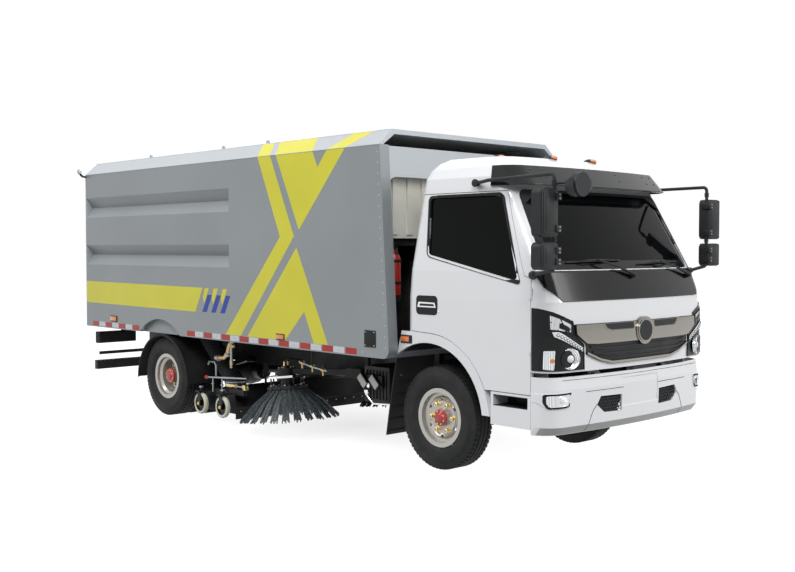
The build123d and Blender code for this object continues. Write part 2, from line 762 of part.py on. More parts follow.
with BuildPart() as water_tank:
    with BuildSketch(PLAN.offset(TANK_BOTTOM)):
        with Locations(((TANK_FRONT + TANK_BACK) / 2, 0)):
            RectangleRounded(TANK_FRONT - TANK_BACK, 2 * (INNER_Y - 30), 60)
    extrude(amount=TANK_TOP - TANK_BOTTOM)
    # moulded ribs up its front wall
    with BuildSketch(face_on(TANK_FRONT)):
        for rib in range(-TANK_RIBS, TANK_RIBS + 1):
            with Locations((rib * TANK_RIB_STEP, (TANK_BOTTOM + TANK_TOP) / 2)):
                Rectangle(TANK_RIB_W, TANK_TOP - TANK_BOTTOM - 60)
    extrude(amount=TANK_RIB_PROUD)
finish(water_tank, "water_tank")

# rear end: lamp bar, underrun bar and their brackets
with BuildPart() as rear_bumper:
    with BuildSketch(side(0)):
        with Locations((BODY_BACK + 80, 400)):
            Rectangle(60, 100)
    extrude(amount=1040, both=True)
    for out in (-1, 1):
        with BuildSketch(side(out * 350)):
            with Locations((BODY_BACK + 85, (450 + RAIL_TOP - RAIL_H) / 2)):
                Rectangle(40, RAIL_TOP - RAIL_H - 450)
        extrude(amount=20, both=True)
    with BuildSketch(side(0)):
        with Locations((BODY_BACK + 85, 530)):
            Rectangle(20, 34)
    extrude(amount=1000, both=True)
    with BuildSketch(side(0)):
        with Locations((BODY_BACK + 85, 640)):
            Rectangle(20, 200)
    extrude(amount=RAIL_Y - RAIL_FLANGE - 5, both=True)
finish(rear_bumper, "rear_bumper")

with BuildPart() as rear_lamps:
    for out in (-1, 1):
        with BuildSketch(side(out * 780)):
            with Locations((BODY_BACK + 60, 705)):
                RectangleRounded(90, 130, 16)
        extrude(amount=230, both=True)
        with BuildSketch(side(out * 700)):
            with Locations((BODY_BACK + 80, (PANEL_BOTTOM + 770) / 2)):
                Rectangle(30, PANEL_BOTTOM - 770)
        extrude(amount=20, both=True)
finish(rear_lamps, "rear_lamps")

# black wheel covers over the twin wheels, and the flaps behind them
MUDGUARD_R = 480
MUDGUARD_T = 12
with BuildPart() as mudguards:
    for out in (-1, 1):
        mud_mid = (TWIN_IN_Y + TWIN_OUT_Y) / 2
        with BuildSketch(side(out * (mud_mid + 20))):
            with BuildLine():
                ThreePointArc(
                    (-WHEELBASE - MUDGUARD_R, AXLE_Z - 40),
                    (-WHEELBASE, AXLE_Z + MUDGUARD_R - 56),
                    (-WHEELBASE + MUDGUARD_R, AXLE_Z - 40),
                )
                Line(
                    (-WHEELBASE + MUDGUARD_R, AXLE_Z - 40),
                    (-WHEELBASE + MUDGUARD_R - MUDGUARD_T, AXLE_Z - 40),
                )
                ThreePointArc(
                    (-WHEELBASE + MUDGUARD_R - MUDGUARD_T, AXLE_Z - 40),
                    (-WHEELBASE, AXLE_Z + MUDGUARD_R - 56 - MUDGUARD_T),
                    (-WHEELBASE - MUDGUARD_R + MUDGUARD_T, AXLE_Z - 40),
                )
                Line(
                    (-WHEELBASE - MUDGUARD_R + MUDGUARD_T, AXLE_Z - 40),
                    (-WHEELBASE - MUDGUARD_R, AXLE_Z - 40),
                )
            make_face()
        extrude(amount=240, both=True)
        with BuildSketch(side(out * RAIL_Y)):
            with Locations((-WHEELBASE, AXLE_Z + MUDGUARD_R - 66 - 8)):
                Rectangle(40, 20)
        extrude(amount=-out * 245)
    # flaps behind the front wheels, on brackets from the frame
    for out in (-1, 1):
        with BuildSketch(side(out * 740)):
            with BuildLine():
                Polyline(
                    (-430, 842),
                    (-480, 620),
                    (-552, 205),
                    (-540, 205),
                    (-468, 620),
                    (-418, 842),
                    close=True,
                )
            make_face()
        extrude(amount=215, both=True)
        with BuildSketch(side(out * RAIL_Y)):
            with Locations((-484, 680)):
                Rectangle(40, 40)
        extrude(amount=-out * 170)
finish(mudguards, "mudguards")

# ---------------------------------------------------------------- cab
# height, nose station, half width, front corner radius, back wall station
CAB_SECTIONS = [
    (CAB_BOTTOM, 1232, CAB_HALF_W, 160, -262),
    (1100, 1235, CAB_HALF_W, 160, -266),
    (1340, 1220, CAB_HALF_W, 160, -264),
    (1545, 1140, CAB_HALF_W - 6, 150, -250),
    (GUTTER_Z, 800, 930, 120, -175),
]
ROOF_STEPS = 5
CROWN_IN = 150


def cab_plan(z, nose, half_w, corner, back, inset=0):
    """Plan outline of the cab at one height: bowed nose, round corners, flat back."""
    with BuildSketch(PLAN.offset(z)) as plan:
        with BuildLine():
            ThreePointArc(
                (nose - inset - NOSE_SAG, -half_w + inset),
                (nose - inset, 0),
                (nose - inset - NOSE_SAG, half_w - inset),
            )
            Polyline(
                (nose - inset - NOSE_SAG, half_w - inset),
                (back + inset, half_w - inset),
                (back + inset, -half_w + inset),
                (nose - inset - NOSE_SAG, -half_w + inset),
            )
        make_face()
        fillet(plan.vertices().group_by(Axis.X)[-1], corner - inset)
        fillet(plan.vertices().group_by(Axis.X)[0], 70 - inset)
    return plan.sketch


def cab_plans(inset=0):
    return [cab_plan(*row, inset=inset) for row in CAB_SECTIONS]


def window_outline(grow=0):
    """Side window: level top, sloping sill, drawn on the SIDE plane."""
    with BuildSketch(side(0)) as window:
        with BuildLine():
            Polyline(
                (-40, 1668),
                (-60, 2098),
                (665, 2098),
                (868, 1480),
                close=True,
            )
        make_face()
        fillet(window.vertices(), 28)
        if grow:
            offset(amount=grow)
    return window.sketch


def door_outline(grow=0):
    """Door: slanted pillars, arc over the wheel, level sill."""
    sill = CAB_BOTTOM + 4
    reach = FENDER_R + PANEL_GAP
    foot = ARCH_X + sqrt(reach**2 - (sill - ARCH_Z) ** 2)
    heel = ARCH_X
    back_z = 1075
    with BuildSketch(side(0)) as door:
        with BuildLine():
            Line((heel, ARCH_Z + reach), (DOOR_REAR, back_z))
            Polyline(
                (DOOR_REAR, back_z),
                (DOOR_REAR + 12, 1600),
                (-128, DOOR_TOP),
                (700, DOOR_TOP),
                (DOOR_FRONT - 62, 1520),
                (DOOR_FRONT, 1500),
                (DOOR_FRONT, sill),
                (foot, sill),
            )
            RadiusArc((foot, sill), (heel, ARCH_Z + reach), -reach)
        make_face()
        if grow:
            offset(amount=grow, kind=Kind.INTERSECTION)
    return door.sketch



FENDER_BACK = -318
FENDER_TIP = -372


def fender_outline(y=0, grow=0):
    """Wheel arch band at y, level along its top and drawn down to a tip behind the wheel."""
    foot_in = ARCH_X + sqrt(ARCH_R**2 - 74**2)
    foot_out = ARCH_X + sqrt(FENDER_R**2 - 74**2)
    heel_x = FENDER_TIP
    heel_z = ARCH_Z + sqrt(ARCH_R**2 - (ARCH_X - FENDER_TIP) ** 2)
    knee = sin(radians(45))
    with BuildSketch(side(y)) as band:
        with BuildLine():
            Polyline(
                (ARCH_X, ARCH_Z + FENDER_R),
                (FENDER_BACK, 1068),
                (heel_x, heel_z),
            )
            ThreePointArc((heel_x, heel_z), (ARCH_X, ARCH_Z + ARCH_R), (foot_in, ARCH_Z + 74))
            Line((foot_in, ARCH_Z + 74), (foot_out, ARCH_Z + 74))
            ThreePointArc(
                (foot_out, ARCH_Z + 74),
                (ARCH_X + FENDER_R * knee, ARCH_Z + FENDER_R * knee),
                (ARCH_X, ARCH_Z + FENDER_R),
            )
        make_face()
        if grow:
            offset(amount=grow, kind=Kind.INTERSECTION)
    return band.sketch


def cab_layer(outer, inner):
    """Layer of the cab's wall between two insets from its outer surface."""
    with BuildPart() as layer:
        loft(cab_plans(outer), ruled=True)
        loft(cab_plans(inner), ruled=True, mode=Mode.SUBTRACT)
    return layer.part


def windscreen_outline(grow=0):
    with BuildSketch(face_on(500)) as screen:
        with BuildLine():
            Polyline((-900, 1562), (-842, 2122), (842, 2122), (900, 1562), close=True)
        make_face()
        fillet(screen.vertices(), 50)
        if grow:
            offset(amount=grow)
    return screen.sketch


def rear_window_outline(grow=0):
    with BuildSketch(face_on(-100)) as window:
        with Locations((0, 1830)):
            RectangleRounded(1000, 400, 50)
        if grow:
            offset(amount=grow)
    return window.sketch


with BuildPart() as cab_shell:
    add(cab_layer(0, CAB_WALL))
    extrude(door_outline(PANEL_GAP - 1), amount=CAB_HALF_W + 10, both=True, mode=Mode.SUBTRACT)
    # floor, raised into a tunnel over the engine
    floor_half = CAB_HALF_W - DOOR_T - 2 * PANEL_GAP
    with BuildSketch(PLAN.offset(CAB_FLOOR_Z)):
        with BuildLine():
            Polyline(
                (-240, -floor_half),
                (DOOR_FRONT + 20, -floor_half),
                (CAB_FLOOR_FRONT, -floor_half + 35),
                (CAB_FLOOR_FRONT, floor_half - 35),
                (DOOR_FRONT + 20, floor_half),
                (-240, floor_half),
                close=True,
            )
        make_face()
    extrude(amount=CAB_FLOOR_T)
    # the nose is a thin skin along its lower edge, so that it swings clear of the bumper
    with BuildSketch(PLAN.offset(CAB_FLOOR_Z)):
        with BuildLine():
            ThreePointArc((1137, -860), (1232 - NOSE_LIP_T, 0), (1137, 860))
            Polyline((1137, 860), (CAB_FLOOR_FRONT, 860), (CAB_FLOOR_FRONT, -860), (1137, -860))
        make_face()
    extrude(amount=CAB_FLOOR_T, mode=Mode.SUBTRACT)
    with BuildSketch(face_on(-230)):
        with Locations((0, (CAB_FLOOR_Z + TUNNEL_TOP + CAB_FLOOR_T) / 2)):
            Rectangle(2 * (TUNNEL_HALF_W + CAB_FLOOR_T), TUNNEL_TOP + CAB_FLOOR_T - CAB_FLOOR_Z)
    extrude(amount=1290)
    with BuildSketch(face_on(-300)):
        with Locations((0, (CAB_BOTTOM + TUNNEL_TOP) / 2)):
            Rectangle(2 * TUNNEL_HALF_W, TUNNEL_TOP - CAB_BOTTOM)
    extrude(amount=1330, mode=Mode.SUBTRACT)
    # nothing of the shell reaches below the floor, and the arches stay open
    with BuildSketch(PLAN.offset(CAB_FLOOR_Z)):
        Rectangle(3000, 2200)
    extrude(amount=-300, mode=Mode.SUBTRACT)
    for out in (-1, 1):
        with BuildSketch(side(out * (TUNNEL_HALF_W + 60))):
            with Locations((ARCH_X, ARCH_Z)):
                Circle(FENDER_R)
        extrude(amount=-out * 700, mode=Mode.SUBTRACT)
        arch_cut = fender_outline(out * (TUNNEL_HALF_W + 60), grow=SEAT_GAP)
        extrude(arch_cut, amount=-out * 700, mode=Mode.SUBTRACT)
    extrude(windscreen_outline(), amount=900, mode=Mode.SUBTRACT)
    extrude(rear_window_outline(), amount=-300, mode=Mode.SUBTRACT)
    # fixed halves of the door hinges: a pin between two ears
    for out in (-1, 1):
        for hinge_z in DOOR_HINGES_Z:
            hinge = Plane((FRONT_AXLE_X + DOOR_HINGE_X, out * CAB_HALF_W, hinge_z))
            with BuildSketch(hinge):
                Circle(DOOR_HINGE_R + 3)
            extrude(amount=DOOR_HINGE_H / 2 + SEAT_GAP, both=True, mode=Mode.SUBTRACT)
            with BuildSketch(hinge):
                Circle(DOOR_HINGE_PIN_R)
            extrude(amount=DOOR_HINGE_H / 2 + DOOR_HINGE_EAR, both=True)
            for end in (-1, 1):
                with BuildSketch(hinge.offset(end * (DOOR_HINGE_H / 2 + SEAT_GAP))):
                    Circle(DOOR_HINGE_R)
                extrude(amount=end * DOOR_HINGE_EAR)
    # eyes on the cab floor that turn on the tilt pins
    for out in (-1, 1):
        with BuildSketch(side(out * 430)):
            with Locations((TILT_X, TILT_Z)):
                Circle(TILT_EYE_R)
            with BuildLine():
                Polyline(
                    (TILT_X - TILT_EYE_R, TILT_Z),
                    (TILT_X + TILT_EYE_R, TILT_Z),
                    (CAB_FLOOR_FRONT, CAB_FLOOR_Z + CAB_FLOOR_T / 2),
                    (CAB_FLOOR_FRONT - 80, CAB_FLOOR_Z + CAB_FLOOR_T / 2),
                    close=True,
                )
            make_face()
            with Locations((TILT_X, TILT_Z)):
                Circle(TILT_PIN_R + RUN_GAP, mode=Mode.SUBTRACT)
        extrude(amount=28, both=True)
finish(cab_shell, "cab_shell")

door_skin = cab_layer(0, DOOR_T)
door_pane = cab_layer(14, 14 + GLASS_T)
for letter, out in SIDES:
    with BuildPart() as door:
        add(door_skin)
        extrude(door_outline(), amount=-out * (CAB_HALF_W + 10), mode=Mode.INTERSECT)
        extrude(window_outline(), amount=-out * (CAB_HALF_W + 10), mode=Mode.SUBTRACT)
        # recessed grip
        with BuildSketch(side(out * (CAB_HALF_W - 14))):
            with Locations((-40, 1280)):
                RectangleRounded(230, 130, 30)
        extrude(amount=-out * 30, mode=Mode.SUBTRACT)
        with BuildSketch(side(out * (CAB_HALF_W - 15))):
            with Locations((-40, 1282)):
                Rectangle(231, 26)
        extrude(amount=-out * 13)
        # barrels that turn on the cab's hinge pins
        for hinge_z in DOOR_HINGES_Z:
            hinge = Plane((FRONT_AXLE_X + DOOR_HINGE_X, out * CAB_HALF_W, hinge_z))
            with BuildSketch(hinge):
                Circle(DOOR_HINGE_R + 3)
            extrude(amount=DOOR_HINGE_H / 2 + DOOR_HINGE_EAR + 3, both=True, mode=Mode.SUBTRACT)
            with BuildSketch(hinge):
                Circle(DOOR_HINGE_R)
                with Locations((-15, -out * 5)):
                    Rectangle(20, 10)
                Circle(DOOR_HINGE_PIN_R + RUN_GAP, mode=Mode.SUBTRACT)
            extrude(amount=DOOR_HINGE_H / 2, both=True)
    finish(door, f"door_{letter}")

    with BuildPart() as door_glass:
        add(door_pane)
        extrude(window_outline(-SEAT_GAP), amount=-out * (CAB_HALF_W + 10), mode=Mode.INTERSECT)
    finish(door_glass, f"door_glass_{letter}")


def cab_pane(outline, reach):
    """Pane that follows the cab's surface inside an outline."""
    with BuildPart() as pane:
        add(screen_layer)
        extrude(outline, amount=reach, mode=Mode.INTERSECT)
    return pane.part


screen_layer = cab_layer(12, 12 + GLASS_T)
with BuildPart() as cab_glass:
    add(cab_pane(windscreen_outline(-SEAT_GAP), 900))
    add(cab_pane(rear_window_outline(-SEAT_GAP), -300))
finish(cab_glass, "cab_glass")


def roof_plan(angle, inset=0):
    """Plan outline of the roof part-way round its crown."""
    turn = radians(angle)
    rise = (CAB_ROOF_Z - GUTTER_Z - inset) * sin(turn) / sin(radians(ROOF_SWEEP))
    draw = (1 - cos(turn)) / (1 - cos(radians(ROOF_SWEEP)))
    return cab_plan(
        GUTTER_Z + rise,
        800 - ROOF_NOSE_IN * draw,
        930 - ROOF_SIDE_IN * draw,
        120 + 60 * draw,
        -175 + ROOF_BACK_IN * draw,
        inset=inset,
    )


ROOF_SWEEP = 80
ROOF_NOSE_IN = 200
ROOF_SIDE_IN = 150
ROOF_BACK_IN = 130
ROOF_SKIN = 30
ROOF_ANGLES = [0, 20, 40, 60, ROOF_SWEEP]
with BuildPart() as roof_block:
    loft([roof_plan(angle) for angle in ROOF_ANGLES], ruled=True)
roof_solid = roof_block.part

with BuildPart() as cab_roof:
    add(roof_solid)
    loft([roof_plan(angle, ROOF_SKIN) for angle in ROOF_ANGLES], ruled=True, mode=Mode.SUBTRACT)
finish(cab_roof, "cab_roof")

with BuildPart() as cab_fenders:
    for out in (-1, 1):
        # liner over the wheel
        with BuildSketch(side(out * (TUNNEL_HALF_W + 60))):
            with Locations((ARCH_X, ARCH_Z)):
                Circle(FENDER_R)
                Circle(FENDER_R - 12, mode=Mode.SUBTRACT)
            with Locations((ARCH_X, ARCH_Z + 70 - 800)):
                Rectangle(2000, 1600, mode=Mode.SUBTRACT)
            with Locations((FENDER_BACK - 500, ARCH_Z)):
                Rectangle(1000, 1600, mode=Mode.SUBTRACT)
        extrude(amount=-out * (CAB_HALF_W - 16 - TUNNEL_HALF_W - 60))
        # outer band, drawn out to a tip behind the wheel
        extrude(fender_outline(out * (CAB_HALF_W - 28)), amount=-out * 30)
finish(cab_fenders, "cab_fenders")

STEP_IN = 200
STEP_LOW = 440
with BuildPart() as cab_steps:
    step_back = ARCH_X + FENDER_R + 4
    for out in (-1, 1):
        with BuildSketch(PLAN.offset(STEP_LOW)):
            with Locations(((step_back + DOOR_FRONT) / 2, out * (CAB_HALF_W - STEP_IN / 2 - 4))):
                Rectangle(DOOR_FRONT - step_back, STEP_IN)
        extrude(amount=CAB_BOTTOM - STEP_LOW - 4)
        with BuildSketch(side(out * (CAB_HALF_W + 1))):
            with Locations(((step_back + DOOR_FRONT) / 2, 622)):
                Rectangle(DOOR_FRONT - step_back - 50, 80)
        extrude(amount=out * (STEP_IN - 25), mode=Mode.SUBTRACT)
        with BuildSketch(side(out * (CAB_HALF_W - STEP_IN - 4))):
            with Locations(((step_back + DOOR_FRONT) / 2, (STEP_LOW + CAB_FLOOR_Z) / 2)):
                Rectangle(DOOR_FRONT - step_back, CAB_FLOOR_Z - STEP_LOW)
        extrude(amount=-out * 12)
finish(cab_steps, "cab_steps")


def nose_layer(outlines, proud, radius):
    """The part of a skin over the cab's nose that lies inside outlines."""
    with BuildPart() as layer:
        add(cab_layer(-proud, 0))
        with BuildSketch(face_on(DOOR_FRONT + 14)) as outline:
            for points in outlines:
                with BuildLine():
                    Polyline(*points, close=True)
                make_face()
            if radius:
                fillet(outline.vertices(), radius)
        extrude(amount=400, mode=Mode.INTERSECT)
    return layer.part


def nose_trim(name, layers):
    """Trim on the cab's nose: each layer is outlines as (left, height), how far the layer
    stands proud and the radius of its corners."""
    with BuildPart() as trim:
        for outlines, proud, radius in layers:
            add(nose_layer(outlines, proud, radius))
    finish(trim, name)


def both_sides(points):
    """An outline on the left and its mirror image on the right."""
    return [points, [(-left, height) for left, height in points]]


def mirrored(points):
    """A closed outline from its left half, listed from the top down."""
    return points + [(-left, height) for left, height in reversed(points)]


def slat_outline(height, reach, depth, drop):
    """Curved grille slat: level between its ends, with the ends turned up by drop."""
    knee = reach - 110
    top = [(reach, height + drop), (knee, height)]
    bottom = [(knee - 6, height - depth), (reach - 4, height + drop - depth)]
    return top + [(-left, z) for left, z in reversed(top)] + [
        (-left, z) for left, z in reversed(bottom)
    ] + bottom


COWL_OUTLINE = mirrored([(985, 1556), (960, 1440), (860, 1345)])
nose_trim("cowl_panel", [([COWL_OUTLINE], 8, 12)])

# grille: broad bright bar with a slot in it, over a recessed field with three slats
GRILLE_BAR = mirrored([(768, 1182), (765, 1112), (662, 1042), (560, 1034)])
GRILLE_FIELD = mirrored([(655, 1040), (648, 972), (505, 918), (380, 892)])
GRILLE_LIP = (
    [(650, 985), (505, 931), (380, 905), (-380, 905), (-505, 931), (-650, 985)]
    + [(-648, 966), (-505, 912), (-380, 886), (380, 886), (505, 912), (648, 966)]
)
# height, reach to each side, depth, rise of the ends
SLATS = [(1008, 612, 14, 16), (968, 590, 14, 18), (932, 520, 12, 16)]
nose_trim(
    "grille",
    [
        ([GRILLE_FIELD], 4, 0),
        ([slat_outline(*slat) for slat in SLATS], 12, 0),
        ([GRILLE_LIP], 14, 0),
        ([GRILLE_BAR], 18, 8),
    ],
)

# headlamps: smoked housing round the corner, with a daytime lamp, a turn lamp and a
# round main lamp standing proud of it
HOUSING = [(670, 862), (676, 1036), (772, 1112), (780, 1206), (946, 1274), (1030, 1310), (1030, 862)]
DAY_LAMP = (
    [(806, 1184), (968, 1256), (968, 1130), (950, 1098)]
    + [(690, 980), (690, 1020), (914, 1140), (922, 1166), (808, 1124)]
)
TURN_LAMP = [(935, 1010), (1004, 1008), (1006, 872), (943, 866)]
MAIN_LAMP_AT = (818, 944)
MAIN_LAMP_R = 68
main_lamp = [
    (
        MAIN_LAMP_AT[0] + 1.25 * MAIN_LAMP_R * cos(radians(angle)),
        MAIN_LAMP_AT[1] + MAIN_LAMP_R * sin(radians(angle)),
    )
    for angle in range(0, 360, 30)
]
nose_trim(
    "headlamps",
    [
        (both_sides(HOUSING), 6, 0),
        (both_sides(DAY_LAMP), 11, 0),
        (both_sides(TURN_LAMP), 11, 8),
        (both_sides(main_lamp), 11, 0),
    ],
)

# sun visor: a bowed band ahead of the roof's front edge, on four upright brackets
VISOR_T = 12
VISOR_LOW = 2168
VISOR_HIGH = 2318
VISOR_BRACKETS_Y = [-640, -220, 220, 640]


def visor_plans(inset=0):
    return [
        cab_plan(VISOR_LOW, 935, 944, 170, -175, inset=inset),
        cab_plan(VISOR_HIGH, 805, 928, 150, -175, inset=inset),
    ]


def visor_band():
    """Bowed smoked band between the visor's two edges."""
    with BuildPart() as band:
        loft(visor_plans(), ruled=True)
        loft(visor_plans(VISOR_T), ruled=True, mode=Mode.SUBTRACT)
        with BuildSketch(face_on(560)):
            with Locations((0, (VISOR_LOW + VISOR_HIGH) / 2)):
                Rectangle(2 * CAB_HALF_W + 200, 600)
        extrude(amount=600, mode=Mode.INTERSECT)
    return band.part


with BuildPart() as visor:
    loft(visor_plans(VISOR_T), ruled=True)
    with BuildSketch(face_on(560)):
        for bracket_y in VISOR_BRACKETS_Y:
            with Locations((bracket_y, 2262)):
                Rectangle(8, 70)
    extrude(amount=600, mode=Mode.INTERSECT)
    add(roof_solid, mode=Mode.SUBTRACT)
    add(visor_band())
finish(visor, "visor")

# mirrors: side, station of the upright
ARM_R = 13
MIRROR_Y = 1100
MIRROR_TABLE = [("R", -1, 1270), ("L", 1, 1110)]


def mirror_bracket(out, upright):
    """Bent tube from the roof's edge to the corner of the nose, with two mirror heads."""
    route = [
        (FRONT_AXLE_X + 430, out * 946, 2195),
        (FRONT_AXLE_X + 600, out * 1015, 2205),
        (FRONT_AXLE_X + upright, out * MIRROR_Y, 2215),
        (FRONT_AXLE_X + upright, out * MIRROR_Y, 1570),
        (FRONT_AXLE_X + 1010, out * (CAB_HALF_W + 4), 1530),
    ]
    with BuildPart() as bracket:
        with BuildLine() as path:
            FilletPolyline(*route, radius=30)
        with BuildSketch(Plane(origin=path.line @ 0, z_dir=path.line % 0)):
            Circle(ARM_R)
        sweep()
        with BuildSketch(side(out * 928)):
            with Locations((424, 2195)):
                Circle(22)
        extrude(amount=-out * 34)
        for low, high, wide, thick in [(1790, 2115, 185, 80), (1570, 1755, 185, 80)]:
            with BuildSketch(face_on(upright - thick / 2 - 20)):
                with Locations((out * (MIRROR_Y + wide / 2 - 15), (low + high) / 2)):
                    RectangleRounded(wide, high - low, 40)
            extrude(amount=thick)
    return bracket.part


with BuildPart() as mirrors:
    for letter, out, upright in MIRROR_TABLE:
        add(mirror_bracket(out, upright))
    # round look-down mirror hung ahead of the passenger's side
    with BuildSketch(face_on(FRONT_REACH - 50)):
        with Locations((-MIRROR_Y + 90, 2140)):
            Circle(82)
    extrude(amount=50)
    with BuildLine() as stalk:
        FilletPolyline(
            (FRONT_AXLE_X + MIRROR_TABLE[0][2], -MIRROR_Y, 2150),
            (FRONT_AXLE_X + FRONT_REACH - 70, -MIRROR_Y, 2150),
            (FRONT_AXLE_X + FRONT_REACH - 45, -MIRROR_Y + 60, 2150),
            radius=15,
        )
    with BuildSketch(Plane(origin=stalk.line @ 0, z_dir=stalk.line % 0)):
        Circle(9)
    sweep(path=stalk.line)
finish(mirrors, "mirrors")

def dashboard():
    """Padded shelf across the cab, up against the inside of its nose."""
    with BuildPart() as shelf:
        loft(cab_plans(CAB_WALL + SEAT_GAP), ruled=True)
        with BuildSketch(side(0)):
            with BuildLine():
                Polyline((800, 1290), (820, 1500), (940, 1530), (1240, 1500), (1240, 1290), close=True)
            make_face()
        extrude(amount=880, both=True, mode=Mode.INTERSECT)
    return shelf.part


with BuildPart() as cab_interior:
    for seat_y in (-620, 620):
        with BuildSketch(PLAN.offset(CAB_FLOOR_Z + CAB_FLOOR_T)):
            with Locations((330, seat_y)):
                Rectangle(300, 300)
        extrude(amount=1200 - CAB_FLOOR_Z - CAB_FLOOR_T)
        with BuildSketch(side(seat_y)):
            with Locations((ARCH_X, ARCH_Z)):
                Circle(FENDER_R + SEAT_GAP)
        extrude(amount=300, both=True, mode=Mode.SUBTRACT)
        with BuildSketch(PLAN.offset(1200)):
            with Locations((340, seat_y)):
                RectangleRounded(500, 440, 60)
        extrude(amount=130)
        with BuildSketch(side(seat_y)):
            with BuildLine():
                Polyline((60, 1290), (170, 1290), (90, 1900), (0, 1900), close=True)
            make_face()
        extrude(amount=210, both=True)
    # dashboard, shaped to the inside of the nose, with the steering wheel on its column
    add(dashboard())
    wheel_centre = Plane((FRONT_AXLE_X + 660, 600, 1525), x_dir=(0, 1, 0), z_dir=(-0.7, 0, 0.71))
    with BuildSketch(wheel_centre):
        Circle(215)
        Circle(188, mode=Mode.SUBTRACT)
        Rectangle(390, 40)
        Circle(60)
    extrude(amount=24)
    with BuildSketch(wheel_centre):
        Circle(30)
    extrude(amount=-220)
finish(cab_interior, "cab_interior")

with BuildPart() as engines:
    # truck engine with its radiator, under the cab
    with BuildSketch(PLAN.offset(500)):
        with Locations((ENGINE_BACK, 0)):
            Rectangle(1000, 520, align=(Align.MIN, Align.CENTER))
    extrude(amount=680)
    with BuildSketch(PLAN.offset(610)):
        with Locations((860, 0), (420, 0), (-200, 0)):
            Rectangle(90, 2 * (RAIL_Y - RAIL_T))
    extrude(amount=60)
    with BuildSketch(PLAN.offset(560)):
        with Locations((860, 0)):
            Rectangle(90, 560)
    extrude(amount=560)
    # auxiliary engine and fan that drive the sweeping gear, on the body floor
    with BuildSketch(PLAN.offset(FLOOR_TOP)):
        with Locations((-1450, 0)):
            Rectangle(1000, 640)
    extrude(amount=720)
finish(engines, "engines")

# ---------------------------------------------------------------- bumper and small chassis pieces
# height, nose station
BUMPER_LEVELS = [
    (BUMPER_BOTTOM, BUMPER_NOSE - 52),
    (BUMPER_BOTTOM + 60, BUMPER_NOSE - 6),
    (BUMPER_TOP - 90, BUMPER_NOSE),
    (BUMPER_TOP, BUMPER_NOSE - 16),
]


def bumper_plans(inset=0):
    return [
        cab_plan(z, nose, CAB_HALF_W - 2, 170, 700, inset=inset) for z, nose in BUMPER_LEVELS
    ]


FOG_LAMP = [(790, 708), (812, 604), (968, 596), (1000, 640), (1000, 700)]
PLATE_RECESS = [(225, 770), (225, 560), (-225, 560), (-225, 770)]
RELIEF = 5


def bumper_relief():
    """Fog lamps standing a little proud of the bumper's corners."""
    with BuildPart() as relief:
        loft(bumper_plans(-RELIEF), ruled=True)
        with BuildSketch(face_on(BUMPER_REAR)):
            for points in both_sides(FOG_LAMP):
                with BuildLine():
                    Polyline(*points, close=True)
                make_face()
        extrude(amount=400, mode=Mode.INTERSECT)
    return relief.part


def bumper_core():
    """The bumper's shape, sunk by RELIEF inside its surface."""
    with BuildPart() as core:
        loft(bumper_plans(RELIEF), ruled=True)
    return core.part


with BuildPart() as bumper:
    loft(bumper_plans(), ruled=True)
    # shallow flat for the number plate
    with BuildSketch(face_on(BUMPER_REAR)):
        with BuildLine():
            Polyline(*PLATE_RECESS, close=True)
        make_face()
    extrude(amount=400, mode=Mode.SUBTRACT)
    add(bumper_core())
    add(bumper_relief())
    loft(bumper_plans(BUMPER_T), ruled=True, mode=Mode.SUBTRACT)
    with BuildSketch(PLAN.offset(BUMPER_BOTTOM - 5)):
        with Locations((BUMPER_REAR - 500, 0)):
            Rectangle(1000, 2200)
    extrude(amount=500, mode=Mode.SUBTRACT)
    # inlets either side of the plate, and the fog lamp recesses
    with BuildSketch(face_on(BUMPER_REAR)):
        for out in (-1, 1):
            with BuildLine():
                Polyline(
                    (out * 240, 650),
                    (out * 480, 655),
                    (out * 520, 595),
                    (out * 440, 535),
                    (out * 240, 530),
                    close=True,
                )
            make_face()
    extrude(amount=400, mode=Mode.SUBTRACT)
finish(bumper, "bumper")

# joints of the driveline: station, height; each end flange tilts, and stands off the face
# that it meets by as much as its rim leans
SHAFT_R = 38
FLANGE_R = 50
CENTRE_JOINT = (-1850, 518)
FRONT_FLANGE_Z = 535
REAR_FLANGE_Z = 420
FRONT_LEAN = FLANGE_R * (FRONT_FLANGE_Z - CENTRE_JOINT[1]) / (ENGINE_BACK - CENTRE_JOINT[0])
REAR_LEAN = FLANGE_R * (CENTRE_JOINT[1] - REAR_FLANGE_Z) / (WHEELBASE + CENTRE_JOINT[0] - AXLE_NOSE)
DRIVELINE = [
    (ENGINE_BACK - FRONT_LEAN - SEAT_GAP, FRONT_FLANGE_Z),
    CENTRE_JOINT,
    (AXLE_NOSE - WHEELBASE + REAR_LEAN + SEAT_GAP, REAR_FLANGE_Z),
]
with BuildPart() as propshaft:
    for (start_x, start_z), (end_x, end_z) in zip(DRIVELINE, DRIVELINE[1:]):
        start = Vector(FRONT_AXLE_X + start_x, 0, start_z)
        run = Vector(end_x - start_x, 0, end_z - start_z)
        for radius, first, last in ((SHAFT_R, 0, 1), (FLANGE_R, 0, 0.04), (FLANGE_R, 0.96, 1)):
            with BuildSketch(Plane(start + run * first, x_dir=(0, 1, 0), z_dir=run)):
                Circle(radius)
            extrude(amount=run.length * (last - first))
    # centre bearing hung from the cross member above it
    with BuildSketch(side(0)):
        with Locations((-1880, 565)):
            Rectangle(50, 20)
    extrude(amount=75, both=True)
    with BuildSketch(face_on(-1905)):
        with Locations((0, 520)):
            Circle(54)
    extrude(amount=50)
finish(propshaft, "propshaft")

